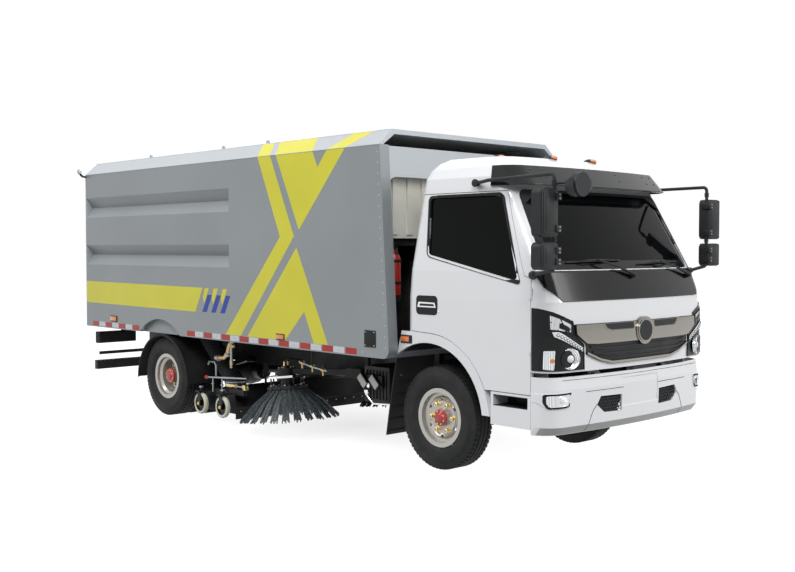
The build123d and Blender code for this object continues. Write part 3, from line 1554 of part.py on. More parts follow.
BATTERY_RIBS = range(-960, -700, 40)
with BuildPart() as side_boxes:
    # battery box and air tanks hung outside the left and right rails
    with BuildSketch(PLAN.offset(420)):
        with Locations((-840, -610)):
            RectangleRounded(320, 380, 20)
        with Locations((-900, 610)):
            RectangleRounded(640, 380, 60)
    extrude(amount=300)
    # ribs down the battery box's outer wall, and straps round the air tanks
    with BuildSketch(PLAN.offset(450)):
        for rib_x in BATTERY_RIBS:
            with Locations((rib_x, -802)):
                Rectangle(16, 12)
    extrude(amount=240)
    with BuildSketch(PLAN.offset(418)):
        for strap_x in (-1080, -720):
            with Locations((strap_x, 610)):
                Rectangle(40, 388)
    extrude(amount=304)
    for out in (-1, 1):
        with BuildSketch(side(out * RAIL_Y)):
            with Locations((-840, 640)):
                Rectangle(60, 60)
        extrude(amount=-out * 60)
finish(side_boxes, "side_boxes")

# ---------------------------------------------------------------- side brooms
BROOM_AXIS = Vector(-sin(radians(BROOM_TILT)), 0, cos(radians(BROOM_TILT)))


def broom_plane(out, height=0):
    """Plane square to a broom's tilted axis, at a height above its bristle plate."""
    origin = Vector(FRONT_AXLE_X + BROOM_X, out * BROOM_Y, BROOM_PLATE_Z)
    return Plane(origin + BROOM_AXIS * height, x_dir=(cos(radians(BROOM_TILT)), 0,
                 sin(radians(BROOM_TILT))), z_dir=BROOM_AXIS)


BRACKET_T = 16
posts = []


def bristle_tuft(base):
    """First tuft of a broom, splayed outwards and widening to its tip."""
    root = Plane(
        base.from_local_coords((BROOM_PLATE_R - 25, 0, 8)),
        x_dir=base.y_dir,
        z_dir=base.from_local_coords((1, 0, -0.72)) - base.origin,
    )
    reach = hypot(BROOM_TIP_R - BROOM_PLATE_R + 25, BROOM_DROP)
    with BuildPart() as tuft:
        with BuildSketch(root):
            Rectangle(24, 18)
        with BuildSketch(root.offset(reach)):
            Rectangle(70, 34)
        loft(ruled=True)
    return tuft.part


for letter, out in SIDES:
    with BuildPart() as broom:
        base = broom_plane(out)
        with BuildSketch(base):
            Circle(BROOM_PLATE_R)
        extrude(amount=34)
        first_tuft = bristle_tuft(base)
        for k in range(BROOM_TUFTS):
            add(first_tuft.rotate(Axis(base.origin, BROOM_AXIS), k * 360 / BROOM_TUFTS))
        # open guard ring on four posts
        with BuildSketch(broom_plane(out, 118)):
            Circle(RING_R)
            Circle(RING_R - 26, mode=Mode.SUBTRACT)
        extrude(amount=10)
        with BuildSketch(broom_plane(out, 30)):
            with PolarLocations(RING_R - 14, 6, start_angle=15):
                Circle(8)
        extrude(amount=90)
    finish(broom, f"broom_{letter}")

    # hydraulic motor over the plate, on an arm from the lift pivot
    arm_end = Vector(FRONT_AXLE_X + BROOM_X, out * BROOM_Y, BROOM_PLATE_Z) + BROOM_AXIS * 172
    pivot = Vector(FRONT_AXLE_X + ARM_PIVOT_X, out * ARM_PIVOT_Y, ARM_PIVOT_Z)
    along = (arm_end - pivot).normalized()
    across = along.cross(Vector(0, 0, 1)).normalized()
    with BuildPart() as broom_arm:
        with BuildSketch(broom_plane(out, 34 + SEAT_GAP)):
            Circle(62)
        extrude(amount=72)
        with BuildSketch(broom_plane(out, 106)):
            Circle(84)
        extrude(amount=95)
        with BuildSketch(Plane(pivot, x_dir=across, z_dir=along)):
            Rectangle(50, 50)
        extrude(amount=(arm_end - pivot).length)
        # hose plate on the motor's cap, and a lift lug halfway along the arm
        with BuildSketch(broom_plane(out, 201)):
            Rectangle(70, 46)
        extrude(amount=20)
        middle = pivot + (arm_end - pivot) * 0.45
        with BuildSketch(Plane(middle, x_dir=along, z_dir=across)):
            with Locations((0, 44)):
                Rectangle(70, 44)
        extrude(amount=8, both=True)
        # cross tube that turns on the lift pin
        with BuildSketch(Plane(pivot, x_dir=along, z_dir=across)):
            Circle(34)
        extrude(amount=60, both=True)
        with BuildSketch(Plane(pivot, x_dir=along, z_dir=across)):
            Circle(ARM_PIN_R + RUN_GAP)
        extrude(amount=80, both=True, mode=Mode.SUBTRACT)
    finish(broom_arm, f"broom_arm_{letter}")

    # swing bracket: a fork for the arm on a vertical post under the frame
    with BuildPart() as broom_bracket:
        flat = Vector(along.X, along.Y, 0).normalized()
        for cheek in (-1, 1):
            cheek_plane = Plane(pivot + across * (cheek * 66), x_dir=flat, z_dir=across * cheek)
            with BuildSketch(cheek_plane):
                Circle(42)
                with Locations((-60, 0)):
                    Rectangle(120, 84)
            extrude(amount=BRACKET_T)
        with BuildSketch(Plane(pivot, x_dir=(0, 0, 1), z_dir=across)):
            Circle(ARM_PIN_R)
        extrude(amount=70, both=True)
        with BuildSketch(Plane(pivot - flat * 110, x_dir=(0, 0, 1), z_dir=flat)):
            Rectangle(84, 2 * (66 + BRACKET_T))
        extrude(amount=-20)
        post = pivot - flat * 160
        with BuildSketch(Plane((post.X, post.Y, ARM_PIVOT_Z - 42))):
            Circle(45)
            Circle(POST_R + RUN_GAP, mode=Mode.SUBTRACT)
        extrude(amount=84)
    finish(broom_bracket, f"broom_bracket_{letter}")
    posts.append(post)

with BuildPart() as gear_hangers:
    # fixed posts for the swing brackets, on plates across the frame
    for post in posts:
        with BuildSketch(Plane((post.X, post.Y, ARM_PIVOT_Z - 60))):
            Circle(POST_R)
        extrude(amount=RAIL_TOP - ARM_PIVOT_Z + 60)
        out = -1 if post.Y < 0 else 1
        for low in (ARM_PIVOT_Z - 60, ARM_PIVOT_Z + 42 + SEAT_GAP):
            with BuildSketch(Plane((post.X, post.Y, low))):
                Circle(46)
                with Locations((0, (out * RAIL_Y - post.Y) / 2)):
                    Rectangle(92, abs(post.Y - out * RAIL_Y))
            extrude(amount=18 - SEAT_GAP)
    # cylinders that hang the nozzle from the frame
    for out in (-1, 1):
        with BuildSketch(PLAN.offset(RAIL_TOP - RAIL_H)):
            with Locations((LIFT_X, out * (RAIL_Y - RAIL_FLANGE / 2))):
                Circle(28)
        extrude(amount=-130)
        with BuildSketch(PLAN.offset(RAIL_TOP - RAIL_H)):
            with Locations((LIFT_X, out * (RAIL_Y - RAIL_FLANGE / 2))):
                Circle(12)
        extrude(amount=NOZZLE_TOP + SEAT_GAP - RAIL_TOP + RAIL_H)
finish(gear_hangers, "gear_hangers")

# ---------------------------------------------------------------- suction nozzle
with BuildPart() as nozzle:
    with BuildSketch(side(0)):
        with BuildLine():
            Polyline(
                (NOZZLE_FRONT, NOZZLE_BOTTOM),
                (NOZZLE_FRONT, NOZZLE_BOTTOM + 60),
                (NOZZLE_FRONT - 160, NOZZLE_TOP),
                (NOZZLE_BACK + 150, NOZZLE_TOP),
                (NOZZLE_BACK, NOZZLE_BOTTOM + 60),
                (NOZZLE_BACK, NOZZLE_BOTTOM),
                close=True,
            )
        make_face()
    extrude(amount=NOZZLE_HALF_W, both=True)
    # open underneath
    with BuildSketch(side(0)):
        with BuildLine():
            Polyline(
                (NOZZLE_FRONT - 30, NOZZLE_BOTTOM - 5),
                (NOZZLE_FRONT - 30, NOZZLE_BOTTOM + 55),
                (NOZZLE_FRONT - 172, NOZZLE_TOP - 14),
                (NOZZLE_BACK + 164, NOZZLE_TOP - 14),
                (NOZZLE_BACK + 30, NOZZLE_BOTTOM + 55),
                (NOZZLE_BACK + 30, NOZZLE_BOTTOM - 5),
                close=True,
            )
        make_face()
    extrude(amount=NOZZLE_HALF_W - 14, both=True, mode=Mode.SUBTRACT)
    # end cheeks, higher than the slopes, that carry the casters
    for out in (-1, 1):
        with BuildSketch(side(out * NOZZLE_HALF_W)):
            with Locations(((NOZZLE_FRONT + NOZZLE_BACK) / 2, (NOZZLE_BOTTOM + CASTER_Z + 134) / 2)):
                Rectangle(NOZZLE_FRONT - NOZZLE_BACK - 40, CASTER_Z + 122 - NOZZLE_BOTTOM)
        extrude(amount=out * 14)
    # collar for the suction hose
    with BuildSketch(PLAN.offset(NOZZLE_TOP - 14)):
        with Locations((HOSE_LOW_X, -HOSE_Y + 60)):
            Circle(HOSE_R)
    extrude(amount=70)
    with BuildSketch(PLAN.offset(NOZZLE_TOP - 20)):
        with Locations((HOSE_LOW_X, -HOSE_Y + 60)):
            Circle(HOSE_R - 10)
    extrude(amount=80, mode=Mode.SUBTRACT)
    # caster forks on outriggers
    for station in (CASTER_FRONT_X, CASTER_REAR_X):
        for out in (-1, 1):
            for cheek in (-1, 1):
                with BuildSketch(side(out * CASTER_Y + cheek * (CASTER_W / 2 + 3))):
                    with Locations((station, CASTER_Z)):
                        Circle(22)
                    with Locations((station, CASTER_Z + 62)):
                        Rectangle(44, 124)
                extrude(amount=-cheek * 8)
            with BuildSketch(PLAN.offset(CASTER_Z + 116)):
                with Locations((station, out * (NOZZLE_HALF_W + CASTER_Y + 33) / 2)):
                    Rectangle(60, CASTER_Y + 33 - NOZZLE_HALF_W + 40)
            extrude(amount=12)
            with BuildSketch(side(out * CASTER_Y)):
                with Locations((station, CASTER_Z)):
                    Circle(CASTER_PIN_R)
            extrude(amount=CASTER_W / 2 + 11, both=True)
finish(nozzle, "nozzle")

for letter, out in SIDES:
    for place, station in (("F", CASTER_FRONT_X), ("R", CASTER_REAR_X)):
        with BuildPart() as caster:
            with BuildSketch(side(out * CASTER_Y)):
                with Locations((station, CASTER_Z)):
                    Circle(CASTER_R)
                    Circle(CASTER_PIN_R + RUN_GAP, mode=Mode.SUBTRACT)
            extrude(amount=CASTER_W / 2, both=True)
        finish(caster, f"caster_{place}{letter}")

with BuildPart() as suction_hose:
    # slanted corrugated duct from the nozzle collar up to the floor
    with BuildSketch(PLAN.offset(NOZZLE_TOP + 56 + SEAT_GAP)):
        with Locations((HOSE_LOW_X, -HOSE_Y + 60)):
            Circle(HOSE_R)
    with BuildSketch(PLAN.offset(PANEL_BOTTOM - SEAT_GAP)):
        with Locations((HOSE_TOP_X, -HOSE_Y)):
            Circle(HOSE_R)
    loft(ruled=True)
finish(suction_hose, "suction_hose")
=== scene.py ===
import math

import bmesh
import bpy
from mathutils import Matrix, Vector
from mathutils.bvhtree import BVHTree


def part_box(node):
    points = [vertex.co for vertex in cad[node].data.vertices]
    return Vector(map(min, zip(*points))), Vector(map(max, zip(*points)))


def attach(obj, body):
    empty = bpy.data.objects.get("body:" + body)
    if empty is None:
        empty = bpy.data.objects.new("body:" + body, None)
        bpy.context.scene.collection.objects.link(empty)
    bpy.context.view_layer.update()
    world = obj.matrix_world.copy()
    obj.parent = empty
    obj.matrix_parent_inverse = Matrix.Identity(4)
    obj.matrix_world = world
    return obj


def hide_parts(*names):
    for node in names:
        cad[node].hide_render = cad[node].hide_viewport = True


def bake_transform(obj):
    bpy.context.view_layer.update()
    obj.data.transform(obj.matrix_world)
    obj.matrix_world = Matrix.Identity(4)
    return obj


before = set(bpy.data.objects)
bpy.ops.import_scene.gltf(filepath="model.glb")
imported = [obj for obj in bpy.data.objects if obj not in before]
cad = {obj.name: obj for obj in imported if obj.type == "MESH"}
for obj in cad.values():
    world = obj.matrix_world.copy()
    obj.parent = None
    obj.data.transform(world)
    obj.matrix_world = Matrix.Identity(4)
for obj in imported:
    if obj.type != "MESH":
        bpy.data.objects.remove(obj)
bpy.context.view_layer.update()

# ------------------------------------------------------------------ floor, camera and light
# A pale floor in a plain studio. The camera stands to the front right of the truck, at the
# height of a tall person's eyes, and everything is placed from the front axle.
tyre_low, tyre_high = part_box("tyre_FR")
AXLE_X = (tyre_low.x + tyre_high.x) / 2
AXLE_Z = (tyre_low.z + tyre_high.z) / 2
CAMERA_AHEAD = 5.710
CAMERA_LEFT = -6.714
CAMERA_HEIGHT = 1.717
CAMERA_TURN = 46.77
CAMERA_DIP = 2.06
CAMERA_LENS = 47.81
FLOOR_HALF = 60.0
WHITE = 1.0


def linear(code, alpha=1.0):
    """An sRGB hex colour as the linear colour that a shader takes."""
    levels = [int(code[i : i + 2], 16) / 255 for i in (1, 3, 5)]
    return [v / 12.92 if v < 0.0405 else ((v + 0.055) / 1.055) ** 2.4 for v in levels] + [alpha]


def add_node(tree, kind, settings=None, **inputs):
    """Adds a shader node; inputs are values or (node, output) pairs by socket name."""
    made = tree.nodes.new("ShaderNode" + kind)
    for name, value in (settings or {}).items():
        setattr(made, name, value)
    for name, value in inputs.items():
        socket = made.inputs[int(name[1:]) if name[1:].isdigit() else name.replace("_", " ")]
        if isinstance(value, tuple) and isinstance(value[0], bpy.types.Node):
            tree.links.new(value[0].outputs[value[1]], socket)
        else:
            socket.default_value = value
    return made


def new_material(name):
    made = bpy.data.materials.new(name)
    made.use_nodes = True
    made.node_tree.nodes.clear()
    return made, made.node_tree


def object_point(tree):
    """The point on the piece in the truck's own frame, in metres."""
    return add_node(tree, "TexCoord"), "Object"


def texture(tree, kind="TexNoise", settings=None, out="Fac", **inputs):
    """A texture fixed to the piece, and the output of it that is used."""
    return add_node(tree, kind, settings, Vector=object_point(tree), **inputs), out


def ramp(tree, factor, stops):
    """Colour ramp with (place, colour) stops; a colour is an sRGB code or linear values."""
    made = add_node(tree, "ValToRGB", None, Fac=factor)
    while len(made.color_ramp.elements) < len(stops):
        made.color_ramp.elements.new(0.5)
    for element, (place, colour) in zip(made.color_ramp.elements, stops):
        element.position = place
        element.color = linear(colour) if isinstance(colour, str) else colour
    return made, "Color"


def close_material(made, tree, shader):
    add_node(tree, "OutputMaterial", None, Surface=shader)
    return made


def coloured(name, tone, stops, relief=None, strength=0.0, distance=0.001, **inputs):
    """A material of one shader. Stops colour the tone texture, and a relief texture bumps it.

    Textures are keywords of texture(); the roughness is a value or stops on the tone."""
    made, tree = new_material(name)
    factor = texture(tree, **tone)
    if relief:
        height = factor if relief is tone else texture(tree, **relief)
        bump = add_node(tree, "Bump", None, Height=height, Strength=strength, Distance=distance)
        inputs["Normal"] = bump, "Normal"
    if isinstance(inputs["Roughness"], list):
        inputs["Roughness"] = ramp(tree, factor, inputs["Roughness"])
    shader = add_node(tree, "BsdfPrincipled", None, Base_Color=ramp(tree, factor, stops), **inputs)
    return close_material(made, tree, (shader, "BSDF"))


floor_mat, tree = new_material("studio_paper")
# the paper glows to the camera alone, more towards its edges, so that it fades to white
paper = add_node(tree, "BsdfDiffuse", None, Color=linear("#7c7c7c"))
reach = add_node(tree, "VectorMath", {"operation": "LENGTH"}, _0=object_point(tree))
share = add_node(tree, "Math", {"operation": "DIVIDE"}, _0=(reach, "Value"), _1=9.0)
path = add_node(tree, "LightPath")
lit = add_node(tree, "Math", {"operation": "ADD", "use_clamp": True}, _0=(share, "Value"), _1=0.78)
seen = add_node(tree, "Math", {"operation": "MAXIMUM"}, _0=(path, "Is Camera Ray"),
                _1=(path, "Is Glossy Ray"))
lift = add_node(tree, "Math", {"operation": "MULTIPLY"}, _0=(lit, "Value"), _1=(seen, "Value"))
glow = add_node(tree, "Emission", None, Color=linear("#ffffff"), Strength=(lift, "Value"))
lifted = add_node(tree, "AddShader", None, _0=(paper, "BSDF"), _1=(glow, "Emission"))
close_material(floor_mat, tree, (lifted, "Shader"))
floor_mesh = bmesh.new()
bmesh.ops.create_grid(floor_mesh, x_segments=1, y_segments=1, size=FLOOR_HALF)
floor_data = bpy.data.meshes.new("floor")
floor_mesh.to_mesh(floor_data)
floor = bpy.data.objects.new("floor", floor_data)
floor.data.materials.append(floor_mat)
bpy.context.scene.collection.objects.link(floor)

world = bpy.data.worlds.new("studio")
bpy.context.scene.world = world
world.use_nodes = True
world.node_tree.nodes.clear()
tree = world.node_tree
path = add_node(tree, "LightPath")
direct = add_node(tree, "Math", {"operation": "MAXIMUM"}, _0=(path, "Is Camera Ray"),
                  _1=(path, "Is Transmission Ray"))
seen = add_node(tree, "Math", {"operation": "MAXIMUM"}, _0=(direct, "Value"),
                _1=(path, "Is Glossy Ray"))
# the studio's own light is strongest overhead and fades towards the floor
height = add_node(tree, "SeparateXYZ", None, Vector=(add_node(tree, "TexCoord"), "Generated"))
dome = add_node(tree, "Math", {"operation": "MULTIPLY_ADD", "use_clamp": True},
                _0=(height, "Z"), _1=0.85, _2=0.16)
soft = add_node(tree, "Background", None, Color=linear("#e4e8ee"), Strength=(dome, "Value"))
bright = add_node(tree, "Background", None, Color=linear("#ffffff"), Strength=WHITE)
both = add_node(tree, "MixShader", None, Fac=(seen, "Value"), _1=(soft, "Background"),
                _2=(bright, "Background"))
add_node(tree, "OutputWorld", None, Surface=(both, "Shader"))

# name, place and aim from the front axle, width, watts
LAMPS = [
    ("key", (8.0, -9.0, 10.5), (0.0, 0.0, 1.0), 5.0, 860),
    ("side", (-5.0, -8.0, 10.5), (-2.0, 0.0, 1.0), 5.0, 640),
    ("fill", (10.0, 5.0, 7.0), (0.0, 0.0, 1.0), 5.0, 560),
    ("top", (-2.0, 0.0, 11.0), (-2.0, 0.0, 0.0), 8.0, 60),
    ("behind", (-12.0, 6.0, 7.0), (-2.0, 0.0, 1.0), 5.0, 260),
]
for name, place, aim, width, watts in LAMPS:
    light = bpy.data.lights.new(name, "AREA")
    light.size = width
    light.energy = watts
    lamp = bpy.data.objects.new(name, light)
    lamp.location = Vector(place) + Vector((AXLE_X, 0, 0))
    lamp.rotation_euler = (Vector(aim) - Vector(place)).to_track_quat("-Z", "Y").to_euler()
    bpy.context.scene.collection.objects.link(lamp)

camera_data = bpy.data.cameras.new("camera")
camera_data.lens = CAMERA_LENS
camera = bpy.data.objects.new("camera", camera_data)
camera.location = (AXLE_X + CAMERA_AHEAD, CAMERA_LEFT, CAMERA_HEIGHT)
camera.rotation_euler = (math.radians(90 - CAMERA_DIP), 0, math.radians(CAMERA_TURN))
bpy.context.scene.collection.objects.link(camera)
bpy.context.scene.camera = camera
bpy.context.scene.view_settings.view_transform = "Standard"

# ------------------------------------------------------------------ chassis
# Two channel rails with cross members, axles and leaf springs, all in satin black chassis
# enamel with a little road dust; the engines are plain iron castings under the cab and body.


def shade(code, share):
    """A lighter or darker tone of an sRGB colour, as linear values."""
    return [min(1.0, v * share) for v in linear(code)[:3]] + [1.0]


def sprayed_paint(name, code, roughness, coat=0.0, spread=0.04, peel=0.05, metallic=0.0, gloss=0.5):
    """Sprayed enamel: clouds of tone a metre across and the orange peel of a sprayed coat."""
    return coloured(name, dict(Scale=1.1, Detail=3.0),
                    [(0.3, shade(code, 1 - spread)), (0.7, shade(code, 1 + spread))],
                    dict(Scale=260.0, Detail=1.0), peel, Roughness=roughness, Metallic=metallic,
                    Specular_IOR_Level=gloss, Coat_Weight=coat, Coat_Roughness=0.05)


def dusty(name, code, dust, roughness, grain, relief=0.15):
    """Satin or moulded black with dust lying in its grain."""
    rough = [(0.35, [roughness] * 3 + [1]), (0.75, [min(1, roughness + 0.3)] * 3 + [1])]
    return coloured(name, dict(Scale=5.0, Detail=6.0, Roughness=0.6), [(0.42, code), (0.75, dust)],
                    dict(Scale=grain, Detail=2.0), relief, Roughness=rough,
                    Specular_IOR_Level=0.3)


def dress(material, *names):
    """Gives CAD nodes a material."""
    for name in names:
        slots = cad[name].data.materials
        slots.clear()
        slots.append(material)


chassis_enamel = dusty("chassis_enamel", "#15161a", "#2d2d2c", 0.38, 320.0)
iron_casting = dusty("iron_casting", "#2b2e30", "#4a4742", 0.62, 180.0, 0.4)
dress(chassis_enamel, "frame_rails", "crossmembers", "front_axle", "rear_axle", "leaf_springs",
      "propshaft", "tie_rod", "knuckle_R", "knuckle_L", "rear_bumper", "gear_hangers",
      "side_boxes")
dress(iron_casting, "engines")

# ------------------------------------------------------------------ wheels
# Radial truck tyres on steel disc rims. The tread has three straight grooves with block edges
# cut across the shoulders, and the walls carry moulded rings. The rims are silver enamel,
# with a red hub cap and brass-plated nuts.
TYRE_NODES = [("tyre_FR", "wheel_FR"), ("tyre_FL", "wheel_FL"), ("tyres_RR", "wheels_RR"),
              ("tyres_RL", "wheels_RL")]
TYRE_R = (tyre_high.z - tyre_low.z) / 2
TYRE_HALF = (tyre_high.y - tyre_low.y) / 2
LUGS = 64
LUG_DEPTH = 0.009
SHOULDER_DROP = 0.009  # how far a block's outer corners stand lower
RIM_EDGE_R = 0.232
REAR_X = -3.8  # station of the rear axle, behind the front one
SIDES = (("R", -1), ("L", 1))
UP = (0, 0, 1)


def piece(name, mesh, body, slot, *materials, angle=35):
    """Turns a bmesh, drawn from the front axle, into a piece that rides on a body."""
    bmesh.ops.translate(mesh, verts=mesh.verts[:], vec=(AXLE_X, 0, 0))
    data = bpy.data.meshes.new(name)
    mesh.to_mesh(data)
    mesh.free()
    for material in materials:
        data.materials.append(material)
    data.shade_smooth()
    data.set_sharp_from_angle(angle=math.radians(angle))
    made = bpy.data.objects.new(name, data)
    bpy.context.scene.collection.objects.link(made)
    if body:
        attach(made, body)
    return made


def merge(mesh, part, index=0):
    """Adds a finished bmesh to another, in one material or, with None, in the ones it has."""
    for face in part.faces:
        face.material_index = face.material_index if index is None else index
    made = bpy.data.meshes.new("part")
    part.to_mesh(made)
    part.free()
    mesh.from_mesh(made)
    bpy.data.meshes.remove(made)


def revolve(mesh, profile, centre, axis, steps):
    """Spins an open or closed profile of points round an axis, and joins the last to the first."""
    verts = [mesh.verts.new(p) for p in profile]
    edges = [mesh.edges.new(pair) for pair in zip(verts, verts[1:])]
    bmesh.ops.spin(mesh, geom=verts + edges, cent=centre, axis=axis, angle=math.tau,
                   steps=steps, use_merge=True, use_duplicate=False)
    bmesh.ops.remove_doubles(mesh, verts=mesh.verts, dist=0.00005)
    bmesh.ops.recalc_face_normals(mesh, faces=mesh.faces)


def turned(mesh, profile, centre, axis, steps=32, index=0):
    """Adds a lathe-turned form: (along, radius) points round an axis through a centre."""
    axis = Vector(axis).normalized()
    across = axis.orthogonal().normalized()
    centre = Vector(centre)
    form = bmesh.new()
    revolve(form, [centre + axis * a + across * r for a, r in profile], centre, axis, steps)
    merge(mesh, form, index)


def colour_faces(verts, index):
    """Gives the faces round some vertices a material of their piece."""
    for v in verts:
        for f in v.link_faces:
            f.material_index = index


def prism(mesh, outline, push, index=0):
    """Adds a closed block, a flat outline pushed along a vector; returns its vertices."""
    verts = [mesh.verts.new(p) for p in outline]
    face = mesh.faces.new(verts)
    grown = bmesh.ops.extrude_face_region(mesh, geom=[face])["geom"]
    moved = [g for g in grown if isinstance(g, bmesh.types.BMVert)]
    bmesh.ops.translate(mesh, verts=moved, vec=push)
    faces = {f for v in verts + moved for f in v.link_faces}
    bmesh.ops.recalc_face_normals(mesh, faces=list(faces))
    colour_faces(verts + moved, index)
    return verts + moved


def rod(mesh, start, end, radius, segments=16, index=0, tip=None):
    """Adds a closed round bar between two points."""
    start, end = Vector(start), Vector(end)
    turn = (end - start).to_track_quat("Z", "Y").to_matrix().to_4x4()
    made = bmesh.ops.create_cone(
        mesh, cap_ends=True, segments=segments, radius1=radius,
        radius2=radius if tip is None else tip, depth=(end - start).length,
        matrix=Matrix.Translation((start + end) / 2) @ turn)
    colour_faces(made["verts"], index)


def box(mesh, low, high, index=0, soft=0.0):
    """Adds a block between any two opposite corners, with softened edges."""
    low, high = [Vector(pick(pair) for pair in zip(low, high)) for pick in (min, max)]
    made = bmesh.ops.create_cube(
        mesh, size=1, matrix=Matrix.Translation((low + high) / 2) @
        Matrix.Diagonal((*(high - low), 1)))
    verts = made["verts"]
    if soft:
        edges = list({e for v in verts for e in v.link_edges})
        grown = bmesh.ops.bevel(mesh, geom=edges, offset=soft, offset_type="OFFSET",
                                segments=2, profile=0.5, affect="EDGES", material=-1)
        verts = {v for f in grown["faces"] for v in f.verts} | {v for v in verts if v.is_valid}
    colour_faces(verts, index)


def circle_angles(count, start=0.0):
    """Equal angles round a circle."""
    return [start + math.tau * k / count for k in range(count)]


def round_point(angle, radius, height=0.0):
    """A point at an angle round the upright axis."""
    return Vector((radius * math.cos(angle), radius * math.sin(angle), height))


def wheel_point(angle, radius, y=0.0):
    """A point at an angle round an axle, which lies across the truck."""
    return Vector((radius * math.cos(angle), y, radius * math.sin(angle)))


tyre_rubber = coloured("tyre_rubber", dict(Scale=9.0, Detail=5.0),
                       [(0.35, "#1e1f20"), (0.7, "#2e2e2d")], dict(Scale=700.0, Detail=1.0), 0.25,
                       0.0006, Roughness=0.72, Specular_IOR_Level=0.25)


def tyre_section(x, z, y):
    """Half section of a tyre from one bead over the tread to the other, as points."""
    half = [
        (0.071, RIM_EDGE_R + 0.002), (0.080, RIM_EDGE_R + 0.004), (0.086, RIM_EDGE_R + 0.012),
        (0.094, 0.262), (0.0955, 0.266), (0.099, 0.268), (0.104, 0.292), (0.1068, 0.303),
        (0.1055, 0.330), (0.1045, 0.331), (0.1005, 0.352), (0.0995, 0.353), (0.0965, 0.366),
        (0.0885, TYRE_R - 0.016), (0.0840, TYRE_R - 0.010), (0.0800, TYRE_R - 0.0070),
    ]
    grooves = [(0.0440, 0.0026), (0.0420, 0.0115), (0.0350, 0.0115), (0.0330, 0.0015),
               (0.0060, 0.0005), (0.0040, 0.0105), (-0.0040, 0.0105)]
    across = half + [(a, TYRE_R - drop) for a, drop in grooves]
    mirrored = [(-a, r) for a, r in reversed(across[:-1])]
    return [(x, y + a, z + r) for a, r in across + mirrored]


for node_name, body in TYRE_NODES:
    low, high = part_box(node_name)
    centre_x = (low.x + high.x) / 2 - AXLE_X
    if high.y - low.y > 0.3:
        middles = [low.y + TYRE_HALF, high.y - TYRE_HALF]
    else:
        middles = [(low.y + high.y) / 2]
    mesh = bmesh.new()
    for middle in middles:
        ring = bmesh.new()
        revolve(ring, tyre_section(centre_x, AXLE_Z, middle), (centre_x, middle, AXLE_Z),
                (0, 1, 0), 96)
        merge(mesh, ring)
        # shoulder blocks, one pair repeated round the tyre
        for side in (-1, 1):
            for k in range(LUGS):
                turn = Matrix.Rotation(math.tau * (k + 0.25 * side) / LUGS, 4, "Y")
                place = Matrix.Translation((centre_x, middle, AXLE_Z)) @ turn
                outline = [(-0.0115, 0.047), (-0.0135, 0.083), (-0.012, 0.0895),
                           (0.012, 0.0895), (0.0115, 0.083), (0.0135, 0.047)]
                corners = [(a, side * b, TYRE_R - LUG_DEPTH - (SHOULDER_DROP if b > 0.085 else 0.0))
                           for a, b in outline]
                block = prism(mesh, corners, (0, 0, LUG_DEPTH - 0.0008))
                bmesh.ops.transform(mesh, matrix=place, verts=block)
    made = piece("tread_" + node_name, mesh, body, "tyre", tyre_rubber)
    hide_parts(node_name)

rim_enamel = sprayed_paint("rim_enamel", "#b1aea8", 0.3, coat=0.15, spread=0.05, metallic=0.55)
hub_enamel = sprayed_paint("hub_enamel", "#b3262b", 0.32, coat=0.4)
brass_plate = sprayed_paint("brass_plate", "#d9c48c", 0.3, metallic=1.0)
# black for the bumper's dark joints, and painted shade where it fills recesses and holes: the inlets'
# backing, the fog lamps' surround and the casters' rim holes
joint_black_and_painted_shade = dusty("joint_black_and_painted_shade", "#101011", "#1d1c1b", 0.7, 300.0)
dress(rim_enamel, "rim_FR", "rim_FL", "rims_RR", "rims_RL")

# ------------------------------------------------------------------ hubs and wheel nuts
# Six plated nuts on studs hold each disc. A red enamelled cap closes the front hub, and the
# flange of the half shaft, with its ring of bolts, closes the rear one.
NUT_CIRCLE_R = 0.111
# body, side, station, face of the disc, hub face, hub radius
HUBS = [("wheel_FR", -1, 0.0, 0.853, 0.890, 0.062), ("wheel_FL", 1, 0.0, 0.853, 0.890, 0.062),
        ("wheels_RR", -1, REAR_X, 0.8805, 0.9865, 0.072),
        ("wheels_RL", 1, REAR_X, 0.8805, 0.9865, 0.072)]

for body, side, station, disc, face, hub_r in HUBS:
    mesh = bmesh.new()
    out = Vector((0, side, 0))
    hub = Vector((station, side * face, AXLE_Z))
    turned(mesh, [(-0.012, hub_r + 0.003), (0.004, hub_r + 0.003), (0.009, hub_r - 0.003),
                  (0.011, 0.042), (0.018, 0.038), (0.024, 0.026), (0.026, 0.0), (-0.012, 0.0),
                  (-0.012, hub_r + 0.003)], hub, out, 36)
    for angle in circle_angles(8, math.tau / 16):
        spot = hub + wheel_point(angle, hub_r - 0.012)
        rod(mesh, spot + out * 0.006, spot + out * 0.0155, 0.0062, 6, 1)
    for angle in circle_angles(6):
        spot = Vector((station, side * disc, AXLE_Z)) + wheel_point(angle, NUT_CIRCLE_R)
        rod(mesh, spot - out * 0.004, spot + out * 0.007, 0.0225, 20, 1)
        rod(mesh, spot + out * 0.006, spot + out * 0.034, 0.0182, 6, 1)
        rod(mesh, spot + out * 0.033, spot + out * 0.037, 0.0182, 6, 1, tip=0.0125)
        rod(mesh, spot + out * 0.036, spot + out * 0.046, 0.009, 12, 2)
    piece("hub_" + body, mesh, body, "rim_silver", hub_enamel, brass_plate, rim_enamel)
